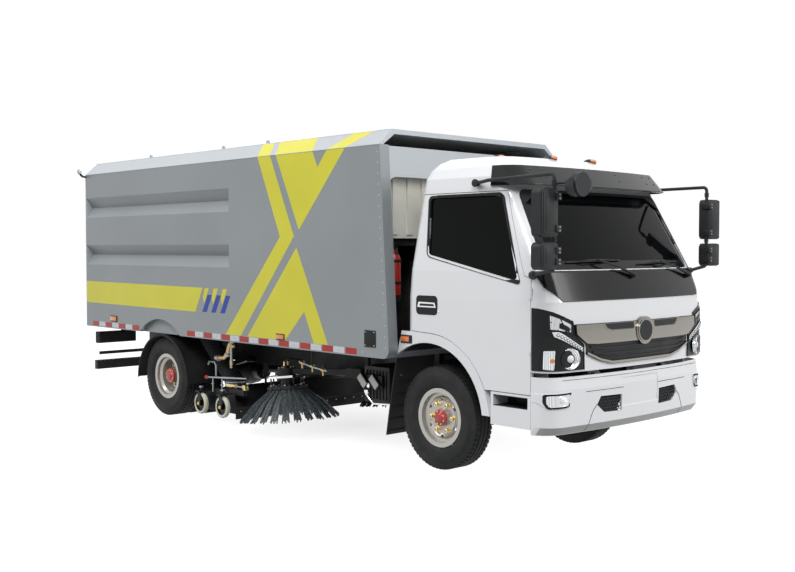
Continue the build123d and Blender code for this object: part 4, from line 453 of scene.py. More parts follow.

# ------------------------------------------------------------------ sweeper body
# A closed box of folded steel sheet on a sub-frame. The flanks are sprayed in a mid grey
# with fine metal in it; roof, walls and gate are a lighter grey, which on the roof also stands
# in for the top light on it, a painted highlight. Rivets run up the front and back edges of
# each flank, and mouldings along its shoulder and the roof's ridge.
FLANK_Y = 1.108
SHOULDER_Z = 2.536
RIDGE_Y = 0.963
RIDGE_Z = 2.666
panel_enamel = sprayed_paint("panel_enamel", "#8b9092", 0.42, coat=0.15, spread=0.05, metallic=0.15)
# lighter grey for roof, walls and gate; on the roof it is partly a painted highlight of the top light
pale_enamel_and_roof_highlight = sprayed_paint("pale_enamel_and_roof_highlight", "#b4b9bd", 0.36, coat=0.25, spread=0.03, metallic=0.1)
galvanised = sprayed_paint("galvanised", "#9fa3a5", 0.42, spread=0.12, metallic=0.8)
dress(panel_enamel, "side_panel_R", "side_panel_L")
dress(pale_enamel_and_roof_highlight, "body_roof", "body_walls", "tailgate")
dress(chassis_enamel, "body_floor")


def flank(points, side):
    """Points (station, height) on a flank as points in space."""
    return [(x, side * FLANK_Y, z) for x, z in points]


def chamfer(points, side):
    """Points (station, share of the way up) on the sloping edge of the roof."""
    return [(x, side * (FLANK_Y + (RIDGE_Y - FLANK_Y) * t), SHOULDER_Z + (RIDGE_Z - SHOULDER_Z) * t)
            for x, t in points]


CHAMFER_OUT = Vector((0, RIDGE_Z - SHOULDER_Z, FLANK_Y - RIDGE_Y)).normalized()
BACK_X = -5.380
RIVET = [(0.0, 0.0), (0.0, 0.0065), (0.0014, 0.0058), (0.0024, 0.0)]
SCREW = [(0.0, 0.0), (0.0, 0.006), (0.0018, 0.005), (0.0026, 0.0)]
mesh = bmesh.new()
for side in (-1, 1):
    # rivet rows beside the raked front edge and up the back edge
    for k in range(19):
        z = 0.93 + k * 0.086
        x = -0.350 - 0.110 * (z - 0.842) / 1.694 - 0.035
        turned(mesh, RIVET, (x, side * FLANK_Y, z), (0, side, 0), 10)
    for k in range(7):
        turned(mesh, RIVET, (-5.345, side * FLANK_Y, 0.92 + k * 0.26), (0, side, 0), 10)
    # drip moulding along the shoulder and the ridge
    for front, y, z in ((-0.461, FLANK_Y, SHOULDER_Z), (-0.470, RIDGE_Y, RIDGE_Z - 0.001)):
        rod(mesh, (BACK_X, side * y, z), (front, side * y, z), 0.0035, 8)
    # folded corner post at the back
    box(mesh, (-5.386, side * 1.02, 0.846), (-5.372, side * 1.1095, SHOULDER_Z - 0.01), soft=0.003)
# battens across the roof
for k in range(6):
    x = -0.9 - k * 0.82
    box(mesh, (x - 0.02, -RIDGE_Y + 0.03, RIDGE_Z - 0.004),
        (x + 0.02, RIDGE_Y - 0.03, RIDGE_Z + 0.004), soft=0.002)
piece("body_seams", mesh, "chassis", "body_grey", pale_enamel_and_roof_highlight)

# ------------------------------------------------------------------ yellow and blue film
# Cast vinyl film cut in straight bands and triangles that cross the flank and wrap over the
# roof's edge, with three blue bars and yellow ticks at the end of the rear band.
FILM_T = 0.0008


def film_finish(name, code, roughness=0.3):
    """Cast vinyl: even colour, a soft gloss and the faint swell of the sheet under it."""
    return coloured(name, dict(Scale=2.2, Detail=2.0),
                    [(0.3, shade(code, 0.96)), (0.7, shade(code, 1.03))],
                    dict(Scale=90.0, Detail=2.0), 0.04, Roughness=roughness,
                    Specular_IOR_Level=0.3, Coat_Weight=0.1, Coat_Roughness=0.12)


yellow_vinyl = film_finish("yellow_vinyl", "#dbd43c")
blue_vinyl = film_finish("blue_vinyl", "#0f3c9c")
YELLOW_SHAPES = [
    [(-5.374, 1.347), (-3.0, 1.333), (-3.13, 1.096), (-5.374, 1.109)],
    [(-2.092, SHOULDER_Z), (-1.904, SHOULDER_Z), (-1.562, 1.818), (-2.364, 0.907),
     (-2.609, 0.907), (-1.762, 1.818)],
    [(-1.818, SHOULDER_Z), (-1.304, SHOULDER_Z), (-1.236, 2.395), (-1.111, SHOULDER_Z),
     (-0.878, SHOULDER_Z), (-1.491, 1.872)],
    [(-1.527, 1.722), (-1.103, 0.907), (-1.290, 0.907), (-1.420, 1.170), (-1.695, 0.907),
     (-2.261, 0.907)],
]
ROOF_SHAPES = [[(-2.092, 0), (-1.904, 0), (-2.027, 1), (-2.197, 1)],
               [(-1.818, 0), (-1.304, 0), (-1.405, 1), (-1.945, 1)],
               [(-1.111, 0), (-0.878, 0), (-0.677, 1), (-0.925, 1)]]
TICK = [(-2.967, 1.329), (-2.892, 1.334), (-2.926, 1.265), (-2.974, 1.178), (-2.996, 1.244)]
BAR = [(-2.912, 1.27), (-2.841, 1.269), (-2.933, 1.102), (-3.009, 1.101)]
TICK_STEP = 0.154
mesh = bmesh.new()
for side in (-1, 1):
    push = Vector((0, side * FILM_T, 0))
    for outline in YELLOW_SHAPES:
        prism(mesh, flank(outline, side), push)
    for k in range(3):
        for index, outline in enumerate((TICK, BAR)):
            prism(mesh, flank([(x + k * TICK_STEP, z) for x, z in outline], side), push, index)
    for outline in ROOF_SHAPES:
        prism(mesh, chamfer(outline, side), Vector((0, side * CHAMFER_OUT.y, CHAMFER_OUT.z)) * FILM_T)
piece("film_bands", mesh, "chassis", "body_grey", yellow_vinyl, blue_vinyl)

# ------------------------------------------------------------------ tape and marker lamps
# Red and white retro-reflective tape runs along the foot of each flank, riveted through the
# white lengths. Two amber marker lamps stand in rubber rims above it.
TAPE_LOW = 0.853
TAPE_HIGH = 0.904
RED_STARTS = [-5.235, -4.942, -4.649, -4.356] + [-3.285 + 0.301 * k for k in range(9)]


def prism_tape(name, code, painted_glint):
    """Micro-prismatic tape: honeycomb cells 12 mm across, with a painted glint, a lighter or darker
    tone painted on the cell edges.
    """
    cells = dict(kind="TexVoronoi", settings={"feature": "DISTANCE_TO_EDGE"}, out="Distance",
                 Scale=80.0)
    return coloured(name, cells, [(0.03, shade(code, painted_glint)), (0.09, code)], Roughness=0.22,
                    Specular_IOR_Level=0.3, Coat_Weight=0.15, Coat_Roughness=0.08)


# painted glint on the cell edges: lighter on the red tape, darker on the white
red_tape = prism_tape("red_tape", "#a3190f", 1.4)
white_tape = prism_tape("white_tape", "#d5d9dc", 0.8)
RIBS = dict(kind="TexWave", Scale=60.0)
lamp_amber = coloured("lamp_amber", RIBS, [(0.2, "#d8660f"), (0.9, "#f08a24")], RIBS, 0.3,
                      Roughness=0.18, Coat_Weight=1.0)
black_rubber = dusty("black_rubber", "#141415", "#262625", 0.6, 260.0, 0.3)

mesh = bmesh.new()
for side in (-1, 1):
    push = Vector((0, side * 0.0007, 0))
    for start in RED_STARTS:
        runs = [(start, start + 0.140, 0)]
        if start not in (RED_STARTS[3], RED_STARTS[-1]):
            runs.append((start + 0.147, start + 0.286, 1))
        for low, high, index in runs:
            outline = [(low, TAPE_LOW), (high, TAPE_LOW), (high, TAPE_HIGH), (low, TAPE_HIGH)]
            prism(mesh, flank(outline, side), push, index)
        turned(mesh, [(0.0, 0.0), (0.0, 0.007), (0.0016, 0.006), (0.0028, 0.0)],
               (start + 0.216, side * (FLANK_Y + 0.0006), 0.879), (0, side, 0), 12, 2)
piece("conspicuity_tape", mesh, "chassis", "body_grey", red_tape, white_tape, galvanised)

mesh = bmesh.new()
MARKERS = [(-4.824, -4.683, 0.919, 0.982), (-1.820, -1.697, 0.907, 0.962)]
for side in (-1, 1):
    for low_x, high_x, low_z, high_z in MARKERS:
        for inset, back, front, index, soft in ((0.0, -0.002, 0.006, 1, 0.003),
                                                (0.008, 0.004, 0.014, 0, 0.004)):
            box(mesh, (low_x + inset, side * (FLANK_Y + back), low_z + inset),
                (high_x - inset, side * (FLANK_Y + front), high_z - inset), index, soft)
# blank black lid over the body's control sockets, with a screw at each corner
for side in (-1, 1):
    box(mesh, (-0.640, side * (FLANK_Y - 0.002), 0.925),
        (-0.505, side * (FLANK_Y + 0.008), 1.060), 1, 0.006)
    for x in (-0.626, -0.519):
        for z in (0.939, 1.046):
            turned(mesh, SCREW, (x, side * (FLANK_Y + 0.008), z), (0, side, 0), 10, 2)
piece("side_markers", mesh, "chassis", "lamp_lens", lamp_amber, black_rubber, galvanised)

# ------------------------------------------------------------------ tailgate and rear end
# The gate is a pressed steel door hung along its top edge, shut against a bulb seal and held
# by two toggle locks. Below it are the lamp bar with red, amber and clear lenses and the
# striped underrun bar.
lamp_red = film_finish("lamp_red", "#b01616", 0.16)
lamp_clear = film_finish("lamp_clear", "#d9dcdc", 0.1)
chrome = sprayed_paint("chrome", "#dfe0e0", 0.07, spread=0.02, peel=0.0, metallic=1.0)
GATE_X = -5.384
mesh = bmesh.new()
outline = [(0.995, 0.860), (0.995, 2.515), (-0.995, 2.515), (-0.995, 0.860)]
ring = [Vector((GATE_X + 0.030, y, z)) for y, z in outline]
for a, b in zip(ring, ring[1:] + ring[:1]):
    rod(mesh, a, b, 0.009, 12)
piece("gate_seal", mesh, "tailgate", "rubber", black_rubber)

mesh = bmesh.new()
for side in (-1, 1):
    y = side * 0.958
    # toggle lock: base plate, bent lever and its hook
    box(mesh, (GATE_X - 0.020, y - 0.035, 0.93), (GATE_X - 0.012, y + 0.035, 1.12), 0, 0.002)
    rod(mesh, (GATE_X - 0.026, y, 0.95), (GATE_X - 0.030, y, 1.20), 0.010, 14, 1)
    rod(mesh, (GATE_X - 0.030, y - 0.030, 1.20), (GATE_X - 0.030, y + 0.030, 1.20), 0.012, 14, 0)
    rod(mesh, (GATE_X - 0.026, y - 0.028, 0.985), (GATE_X - 0.026, y + 0.028, 0.985), 0.012, 14, 1)
# grab rail across the gate on two posts, and the bolts of its hinges
for y in (-0.42, 0.42):
    rod(mesh, (GATE_X - 0.001, y, 1.00), (GATE_X - 0.026, y, 1.00), 0.009, 12, 1)
rod(mesh, (GATE_X - 0.026, -0.45, 1.00), (GATE_X - 0.026, 0.45, 1.00), 0.010, 16, 1)
for y in (-0.72, 0.0, 0.72):
    for z in (2.470, 2.500):
        for step in (-0.012, 0.012):
            turned(mesh, [(0.0, 0.0), (0.0, 0.007), (0.004, 0.006), (0.005, 0.0)],
                   (GATE_X, y + step, z), (-1, 0, 0), 8, 1)
piece("gate_fittings", mesh, "tailgate", "body_grey", pale_enamel_and_roof_highlight, galvanised)

mesh = bmesh.new()
LAMP_X = -5.369
# inner and outer edge from the middle, and the lens's material
LENSES = [(0.558, 0.700, 2), (0.706, 0.790, 1), (0.796, 0.900, 0), (0.906, 1.002, 1)]
for side in (-1, 1):
    for low, high, index in LENSES:
        box(mesh, (LAMP_X - 0.009, side * low, 0.654), (LAMP_X + 0.004, side * high, 0.756),
            index, 0.004)
piece("rear_lenses", mesh, "chassis", "lamp_lens", lamp_amber, lamp_red, lamp_clear)
dress(black_rubber, "rear_lamps", "mudguards")

mesh = bmesh.new()
for k in range(16):
    low = -1.024 + k * 0.128
    points = [(-5.3345, y, z) for y, z in
              [(low, 0.362), (low + 0.094, 0.362), (low + 0.122, 0.438), (low + 0.028, 0.438)]]
    prism(mesh, points, (-0.0008, 0, 0), k % 2)
piece("underrun_stripes", mesh, "chassis", "body_grey", red_tape, white_tape)

# corner marker lamps on bent rubber stalks
mesh = bmesh.new()
for side in (-1, 1):
    root = Vector((-5.352, side * 1.040, 2.500))
    elbow = Vector((-5.376, side * 1.150, 2.520))
    head = Vector((-5.376, side * 1.185, 2.555))
    rod(mesh, root, elbow, 0.011, 12, 1)
    rod(mesh, elbow, head, 0.012, 12, 1)
    bmesh.ops.create_uvsphere(mesh, u_segments=12, v_segments=8, radius=0.0125,
                              matrix=Matrix.Translation(elbow))
    for index, profile in ((1, [(-0.016, 0.0), (-0.016, 0.020), (-0.006, 0.026), (-0.004, 0.0)]),
                           (0, [(-0.004, 0.0), (-0.004, 0.024), (0.000, 0.022), (0.002, 0.0)]),
                           (2, [(-0.016, 0.0), (-0.016, 0.022), (-0.020, 0.020), (-0.022, 0.0)])):
        turned(mesh, profile, head + Vector((0, 0, 0.014)), (-1, 0, 0), 20, index)
piece("corner_markers", mesh, "chassis", "lamp_lens", lamp_red, black_rubber, lamp_clear)

# ------------------------------------------------------------------ water tank and engine bay
# The tank is rotationally moulded polyethylene, cream and slightly waxy.
# Behind the cab a fire extinguisher stands on each side, over a red delivery pipe.
tank_cream = coloured("tank_cream", dict(Scale=3.0, Detail=4.0),
                      [(0.35, "#d3d0c4"), (0.7, "#e6e4da")], dict(Scale=140.0, Detail=3.0), 0.2,
                      Roughness=0.5, Subsurface_Weight=0.05)
dress(tank_cream, "water_tank")
signal_red = sprayed_paint("signal_red", "#b8261d", 0.3, coat=0.5)
BOTTLE_X = -0.627

mesh = bmesh.new()
for side in (-1, 1):
    y = side * 0.800
    turned(mesh, [(0.0, 0.0), (0.0, 0.055), (0.012, 0.060), (0.300, 0.060), (0.335, 0.045),
                  (0.350, 0.020), (0.372, 0.020), (0.372, 0.0)], (BOTTLE_X, y, 1.330), UP, 28)
    rod(mesh, (BOTTLE_X, y, 1.700), (BOTTLE_X, y, 1.745), 0.016, 14, 1)
    rod(mesh, (BOTTLE_X, y, 1.738), (-0.557, y, 1.752), 0.006, 8, 1)
    rod(mesh, (-0.592, y, 1.716), (-0.572, y, 1.560), 0.009, 10, 2)
    for z in (1.420, 1.600):
        turned(mesh, [(0.0, 0.0605), (0.0, 0.0635), (0.022, 0.0635), (0.022, 0.0605), (0.0, 0.0605)],
               (BOTTLE_X, y, z), UP, 28, 1)
    box(mesh, (-0.702, y - 0.05, 1.280), (-0.582, y + 0.05, 1.332), 1, 0.004)
    # red delivery pipe from the pump up to the tank
    rod(mesh, (BOTTLE_X, y, 0.882), (BOTTLE_X, y, 1.240), 0.016, 14, 0)
    rod(mesh, (BOTTLE_X, y, 1.240), (-0.652, y, 1.282), 0.016, 14, 0)
piece("extinguishers", mesh, "chassis", "body_grey", signal_red, black_rubber, iron_casting)

# ------------------------------------------------------------------ cab shell and doors
# Pressed steel shell sprayed in solid white and cleared. Rubber seals frame the glass, and
# each door carries a drip shield, a grip and a lock. A marker lamp tips each wheel arch.
cab_enamel = sprayed_paint("cab_enamel", "#e9eaeb", 0.2, coat=0.8, spread=0.012, peel=0.03)
moulded_black = dusty("moulded_black", "#17181a", "#232426", 0.42, 420.0, 0.25)
gloss_black = sprayed_paint("gloss_black", "#0b0c0e", 0.16, coat=0.1, spread=0.1, peel=0.02,
                            gloss=0.22)
dress(cab_enamel, "cab_shell", "door_R", "door_L", "cab_roof", "cab_fenders", "bumper", "cab_steps")
dress(gloss_black, "cowl_panel")
dress(moulded_black, "mirrors", "cab_interior")


def surface(*names):
    """Search tree of CAD nodes, drawn from the front axle, for trim that follows them."""
    points, faces = [], []
    for name in names:
        data = cad[name].data
        first = len(points)
        points += [v.co - Vector((AXLE_X, 0, 0)) for v in data.vertices]
        faces += [[first + i for i in p.vertices] for p in data.polygons]
    return BVHTree.FromPolygons(points, faces)


def seen_ahead(skin, y, z):
    """Where a skin is met from in front at a place, and its normal there, turned forward."""
    found, normal, _, _ = skin.ray_cast(Vector((1.8, y, z)), Vector(BACKWARD), 2.5)
    if found is None:
        found, normal, _, _ = skin.find_nearest(Vector((1.2, y, z)))
    return found, normal if normal.x > 0 else -normal


def rounded(outline, radius, segments):
    """A flat outline of points with its corners rounded."""
    sheet = bmesh.new()
    sheet.faces.new([sheet.verts.new(p) for p in outline])
    bmesh.ops.bevel(sheet, geom=sheet.verts[:], offset=radius, segments=segments, profile=0.5,
                    affect="VERTICES", material=-1)
    points = [v.co.copy() for v in sheet.faces[:][0].verts]
    sheet.free()
    return points


def lay(mesh, outline, skin, aim, proud, index=0, sunk=0.002, cuts=(), radius=0.0, rim=0.0,
        grow=0.0):
    """Lays a sheet of trim on a curved skin, proud of it, looking along aim.

    The flat outline is rounded, grown, made a frame of width rim, and cut where it bends."""
    aim = Vector(aim).normalized()
    sheet = bmesh.new()
    face = sheet.faces.new([sheet.verts.new(p) for p in outline])
    if grow:
        face.normal_update()
        flat = [v.co.copy() for v in face.verts]
        for k, v in enumerate(face.verts):
            before = (flat[k] - flat[k - 1]).normalized().cross(face.normal)
            after = (flat[(k + 1) % len(flat)] - flat[k]).normalized().cross(face.normal)
            v.co += (before + after) * (grow / (1 + before.dot(after)))
    if radius:
        bmesh.ops.bevel(sheet, geom=sheet.verts[:], offset=radius, segments=5, profile=0.5,
                        affect="VERTICES", material=-1)
    if rim:
        face = max(sheet.faces, key=lambda f: f.calc_area())
        bmesh.ops.inset_region(sheet, faces=[face], thickness=rim, use_even_offset=True,
                               use_boundary=True)
        bmesh.ops.delete(sheet, geom=[face], context="FACES")
    for place, across in cuts:
        geom = sheet.verts[:] + sheet.edges[:] + sheet.faces[:]
        bmesh.ops.bisect_plane(sheet, geom=geom, plane_co=place, plane_no=across)
    bmesh.ops.triangulate(sheet, faces=sheet.faces[:])
    for v in sheet.verts:
        found = skin.ray_cast(v.co - aim * 0.4, aim, 0.9)[0]
        v.co = found if found else skin.find_nearest(v.co)[0]
    grown = bmesh.ops.extrude_face_region(sheet, geom=sheet.faces[:])["geom"]
    outer = {g for g in grown if isinstance(g, bmesh.types.BMVert)}
    for v in sheet.verts:
        v.co += aim * (-proud if v in outer else sunk)
    bmesh.ops.recalc_face_normals(sheet, faces=sheet.faces)
    merge(mesh, sheet, index)


def course(mesh, points, radius, segments=10, index=0):
    """A round bar along straight runs, with a ball at each turn."""
    points = [Vector(p) for p in points]
    for a, b in zip(points, points[1:]):
        rod(mesh, a, b, radius, segments, index)
    for p in points:
        ball = bmesh.new()
        bmesh.ops.create_uvsphere(ball, u_segments=segments, v_segments=max(6, segments // 2),
                                  radius=radius, matrix=Matrix.Translation(p))
        merge(mesh, ball, index)


BACKWARD = (-1, 0, 0)
UPRIGHT_CUTS = [((x, 0, 0), (1, 0, 0)) for x in (0.0, 0.2, 0.4, 0.6, 0.75, 0.85, 0.93)]
LEVEL_CUTS = [((0, 0, z), (0, 0, 1)) for z in (0.93, 1.10, 1.22, 1.34, 1.44, 1.545, 1.75, 1.95)]
NOSE_CUTS = ([((0, 0.08 * k, 0), (0, 1, 0)) for k in range(-10, 11)]
             + [((0, side * y, 0), (0, 1, 0)) for side in (-1, 1)
                for y in (0.84, 0.865, 0.885, 0.905, 0.925, 0.945, 0.96, 0.975, 0.985, 0.993)])
SCREEN_CUTS = NOSE_CUTS + LEVEL_CUTS
WINDOW = [(-0.040, 1.668), (-0.060, 2.098), (0.665, 2.098), (0.868, 1.480)]
for letter, side in SIDES:
    skin = surface("door_" + letter)
    inward = (0, -side, 0)
    at_side = [(x, side * 0.97, z) for x, z in WINDOW]
    mesh = bmesh.new()
    # window seal
    lay(mesh, at_side, skin, inward, 0.004, 0, 0.018, UPRIGHT_CUTS + LEVEL_CUTS, 0.042, 0.030, 0.020)
    # grip: a black dish with a chromed pull across it, and the lock barrel
    dish = [(x, side * 0.980, z)
            for x, z in [(-0.155, 1.205), (0.075, 1.205), (0.075, 1.352), (-0.155, 1.352)]]
    prism(mesh, rounded(dish, 0.034, 6), (0, side * 0.0225, 0), 0)
    pull = [(-0.140, 1.262), (-0.128, 1.302), (0.046, 1.300), (0.060, 1.262)]
    prism(mesh, [(x, side * 0.994, z) for x, z in pull], (0, side * 0.010, 0), 1)
    prism(mesh, [(x, side * 1.0035, z) for x, z in
                 [(-0.118, 1.272), (-0.110, 1.290), (0.034, 1.289), (0.043, 1.272)]],
          (0, side * 0.0012, 0), 0)
    turned(mesh, [(-0.012, 0.0), (-0.012, 0.011), (0.003, 0.011), (0.004, 0.008), (0.003, 0.0)],
           (0.088, side * 1.0, 1.238), (0, side, 0), 18, 1)
    piece("door_trim_" + letter, mesh, "door_" + letter, "gloss_black", black_rubber, chrome)

    # drip deflector over the front half of the window
    mesh = bmesh.new()
    visor_points = [(0.010, 2.120), (0.655, 2.120), (0.668, 2.078), (0.300, 2.066), (0.090, 2.050)]
    lay(mesh, [(x, side * 0.94, z) for x, z in visor_points], skin, inward, 0.012, 0, 0.001,
        UPRIGHT_CUTS, 0.008)
    piece("drip_shield_" + letter, mesh, "door_" + letter, "gloss_black", gloss_black)

    # fender marker lamp and its black housing, at the tip of the wheel arch
    mesh = bmesh.new()
    box(mesh, (-0.327, side * 0.998, 0.972), (-0.200, side * 1.010, 1.037), 1, 0.006)
    box(mesh, (-0.316, side * 1.008, 0.984), (-0.226, side * 1.016, 1.026), 0, 0.006)
    piece("fender_lamp_" + letter, mesh, "cab", "lamp_lens", lamp_amber, moulded_black)

# ------------------------------------------------------------------ cab glass
# Tinted laminated glass, almost black from outside, with a ceramic border baked on round the
# windscreen and rubber seals clipped over its edge.
tinted_glass, tree = new_material("tinted_glass")
tone = ramp(tree, texture(tree, Scale=1.4, Detail=2.0), [(0.3, "#060708"), (0.7, "#0b0d0e")])
coat = add_node(tree, "BsdfPrincipled", None, Base_Color=tone, Roughness=0.04, IOR=1.5,
                Specular_IOR_Level=0.12)
through = add_node(tree, "BsdfTransparent", None, Color=linear("#2c3033"))
glass = add_node(tree, "MixShader", None, Fac=0.72, _1=(through, "BSDF"), _2=(coat, "BSDF"))
close_material(tinted_glass, tree, (glass, "Shader"))
dress(tinted_glass, "cab_glass", "door_glass_R", "door_glass_L")

shell_skin = surface("cab_shell")
mesh = bmesh.new()
screen = [(0.95, y, z)
          for y, z in [(-0.900, 1.562), (0.900, 1.562), (0.842, 2.122), (-0.842, 2.122)]]
lay(mesh, screen, shell_skin, BACKWARD, 0.004, 0, 0.018, SCREEN_CUTS, 0.060, 0.034, 0.020)
window = [(-0.2, y, z) for y, z in [(-0.5, 1.63), (-0.5, 2.03), (0.5, 2.03), (0.5, 1.63)]]
lay(mesh, window, shell_skin, (1, 0, 0), 0.004, 0, 0.018, LEVEL_CUTS, 0.060, 0.030, 0.018)
piece("glass_seals", mesh, "cab", "gloss_black", black_rubber)
glass_skin = surface("cab_glass")
mesh = bmesh.new()
lay(mesh, screen, glass_skin, BACKWARD, 0.0008, 0, 0.0, SCREEN_CUTS, 0.050, 0.060, -0.002)
piece("screen_border", mesh, "cab", "gloss_black", gloss_black)

# ------------------------------------------------------------------ wipers
# Two wipers park on the glass, driven from bosses in the cowl: a bent arm with a thicker foot,
# a bow under its end and the blade.
# place of the pivot and of the blade's middle, seen from the front
WIPERS = [((-0.031, 1.512), (-0.395, 1.618)), ((0.800, 1.500), (0.420, 1.600))]
BLADE_HALF = 0.30
BLADE_RISE = 0.012  # from one end of a blade to the other
BLADE_STEPS = 10
nose_skin = surface("cab_shell", "cowl_panel", "cab_glass")
mesh = bmesh.new()


def on_nose(y, z, off=0.0):
    """The point on the cab's nose at a place seen from the front, and off it."""
    return seen_ahead(nose_skin, y, z)[0] + Vector((off, 0, off * 0.35))


for pivot_at, (y, z) in WIPERS:
    pivot = on_nose(*pivot_at, 0.020)
    head = on_nose(y, z, 0.040)
    turned(mesh, [(-0.024, 0.0), (-0.024, 0.020), (0.010, 0.018), (0.018, 0.010), (0.020, 0.0)],
           pivot, (1, 0, 0.35), 20)
    middle = pivot.lerp(head, 0.5) + Vector((0.016, 0, 0.006))
    course(mesh, [pivot + Vector((0.012, 0, 0)), middle, head], 0.0085, 10)
    rod(mesh, pivot, pivot.lerp(middle, 0.8), 0.013, 10, tip=0.009)
    spine = [on_nose(y - BLADE_HALF + 2 * BLADE_HALF * k / BLADE_STEPS,
                     z + BLADE_RISE * (k / BLADE_STEPS - 0.5), 0.012) for k in range(BLADE_STEPS + 1)]
    course(mesh, spine, 0.0055, 8)
    bow = [spine[2] + Vector((0.006, 0, 0)), head + Vector((-0.006, -0.10, 0.0)),
           head + Vector((-0.006, 0.10, 0.0)), spine[8] + Vector((0.006, 0, 0))]
    course(mesh, bow, 0.0048, 8)
piece("wipers", mesh, "cab", "mirror_black", moulded_black)

# ------------------------------------------------------------------ nose: grille
# A chromed ABS bar with a slot at each side spans the nose over a black field of curved
# slats and fine mesh, closed by a chromed lip. A plain chromed oval sits at its middle.
dark_chrome = sprayed_paint("dark_chrome", "#8d8983", 0.09, spread=0.03, peel=0.0, metallic=1.0)
grille_black = dusty("grille_black", "#0d0e10", "#1b1c1e", 0.4, 380.0, 0.2)
dress(grille_black, "grille")
grille_skin = surface("grille", "cab_shell")
CHROME_BAR = [(0.768, 1.182), (0.765, 1.112), (0.662, 1.042), (0.560, 1.034)]


def at_nose(points):
    """Points seen from the front, put ahead of the nose."""
    return [(1.2, y, z) for y, z in points]


def both_ways(points):
    """A closed outline from its left half, listed from the top down."""
    return points + [(-y, z) for y, z in reversed(points)]


mesh = bmesh.new()
lay(mesh, at_nose(both_ways(CHROME_BAR)), grille_skin, BACKWARD, 0.0035, 0, 0.001, SCREEN_CUTS,
    0.008, 0.0, -0.003)
# raised upper ledge of the bar, broken by the slots
SLOT = [(0.470, 1.176), (0.440, 1.142), (0.400, 1.130), (0.135, 1.130), (0.135, 1.176)]
for side in (-1, 1):
    flip = [(side * y, z) for y, z in SLOT]
    lay(mesh, at_nose(flip), grille_skin, BACKWARD, 0.0048, 1, -0.002, NOSE_CUTS, 0.004)
    ledge = [seen_ahead(grille_skin, side * y, z)[0] + Vector((0.004, 0, 0))
             for y, z in [(0.135, 1.124), (0.405, 1.122), (0.452, 1.136), (0.482, 1.176)]]
    course(mesh, ledge, 0.0042, 8, 0)
lip = [(0.650, 0.985), (0.505, 0.931), (0.380, 0.905), (-0.380, 0.905), (-0.505, 0.931),
       (-0.650, 0.985), (-0.648, 0.966), (-0.505, 0.912), (-0.380, 0.886), (0.380, 0.886),
       (0.505, 0.912), (0.648, 0.966)]
lay(mesh, at_nose(lip), grille_skin, BACKWARD, 0.002, 0, 0.001, NOSE_CUTS, 0.0, 0.0, -0.0015)
# plain oval badge, a chromed rim round a smoked disc
BADGE_Z = 1.108
badge_x = on_nose(0.2, BADGE_Z).x + 0.014
BADGE_STEPS = 40
for ry, rz, back, front, index in [(0.107, 0.103, -0.02, 0.008, 0), (0.092, 0.088, -0.01, 0.013, 0),
                                   (0.080, 0.076, -0.01, 0.0145, 1)]:
    ring = [(badge_x + back + 0.01, ry * math.cos(angle), BADGE_Z + rz * math.sin(angle))
            for angle in circle_angles(BADGE_STEPS)]
    prism(mesh, ring, (front - back, 0, 0), index)
piece("grille_chrome", mesh, "cab", "grille_chrome", dark_chrome, grille_black)

# fine diamond mesh between the slats
mesh = bmesh.new()
for k in range(46):
    y = -0.585 + 0.026 * k
    for lean in (-0.03, 0.03):
        low = on_nose(y - lean, 0.905 + 0.08 * abs(y) ** 2, 0.001)
        high = on_nose(y + lean, 1.034, 0.001)
        if abs(y) < 0.57:
            rod(mesh, low, high, 0.0018, 4)
piece("grille_mesh", mesh, "cab", "gloss_black", grille_black)

# ------------------------------------------------------------------ headlamps
# Smoked polycarbonate housings wrap the corners. Behind the clear cover sit an upper
# reflector, a slanting row of white LEDs, a round main lamp and an upright turn lamp.
smoked_housing = sprayed_paint("smoked_housing", "#0c0e10", 0.14, coat=0.05, spread=0.12, peel=0.0,
                               gloss=0.2)
FLUTES = dict(kind="TexWave", settings={"bands_direction": "Y"}, Scale=42.0)
reflector = coloured("reflector", FLUTES, [(0.2, "#8f9496"), (0.8, "#e8eaeb")], FLUTES, 0.5, 0.002,
                     Roughness=0.12, Metallic=0.8, Coat_Weight=1.0, Coat_Roughness=0.02)
led_white = film_finish("led_white", "#f2f4f5", 0.1)
dress(smoked_housing, "headlamps")
lamp_skin = surface("headlamps", "cab_shell")
UPPER_BLOCK = [(0.806, 1.186), (0.968, 1.256), (0.968, 1.150), (0.922, 1.146), (0.808, 1.124)]
LED_STRIP = [(0.690, 0.984), (0.690, 1.020), (0.914, 1.140), (0.962, 1.140), (0.950, 1.100)]
TURN = [(0.935, 1.010), (0.996, 1.008), (0.998, 0.872), (0.943, 0.866)]
HOUSING = [(0.672, 0.864), (0.678, 1.034), (0.774, 1.110), (0.782, 1.204), (0.944, 1.272)]
LED_COUNT = 9
mesh = bmesh.new()


def lamp_point(y, z, off=0.0):
    """Point on the headlamp's cover at a place seen from the front, off it along its slope."""
    found, normal = seen_ahead(lamp_skin, y, z)
    return found + normal * off, normal


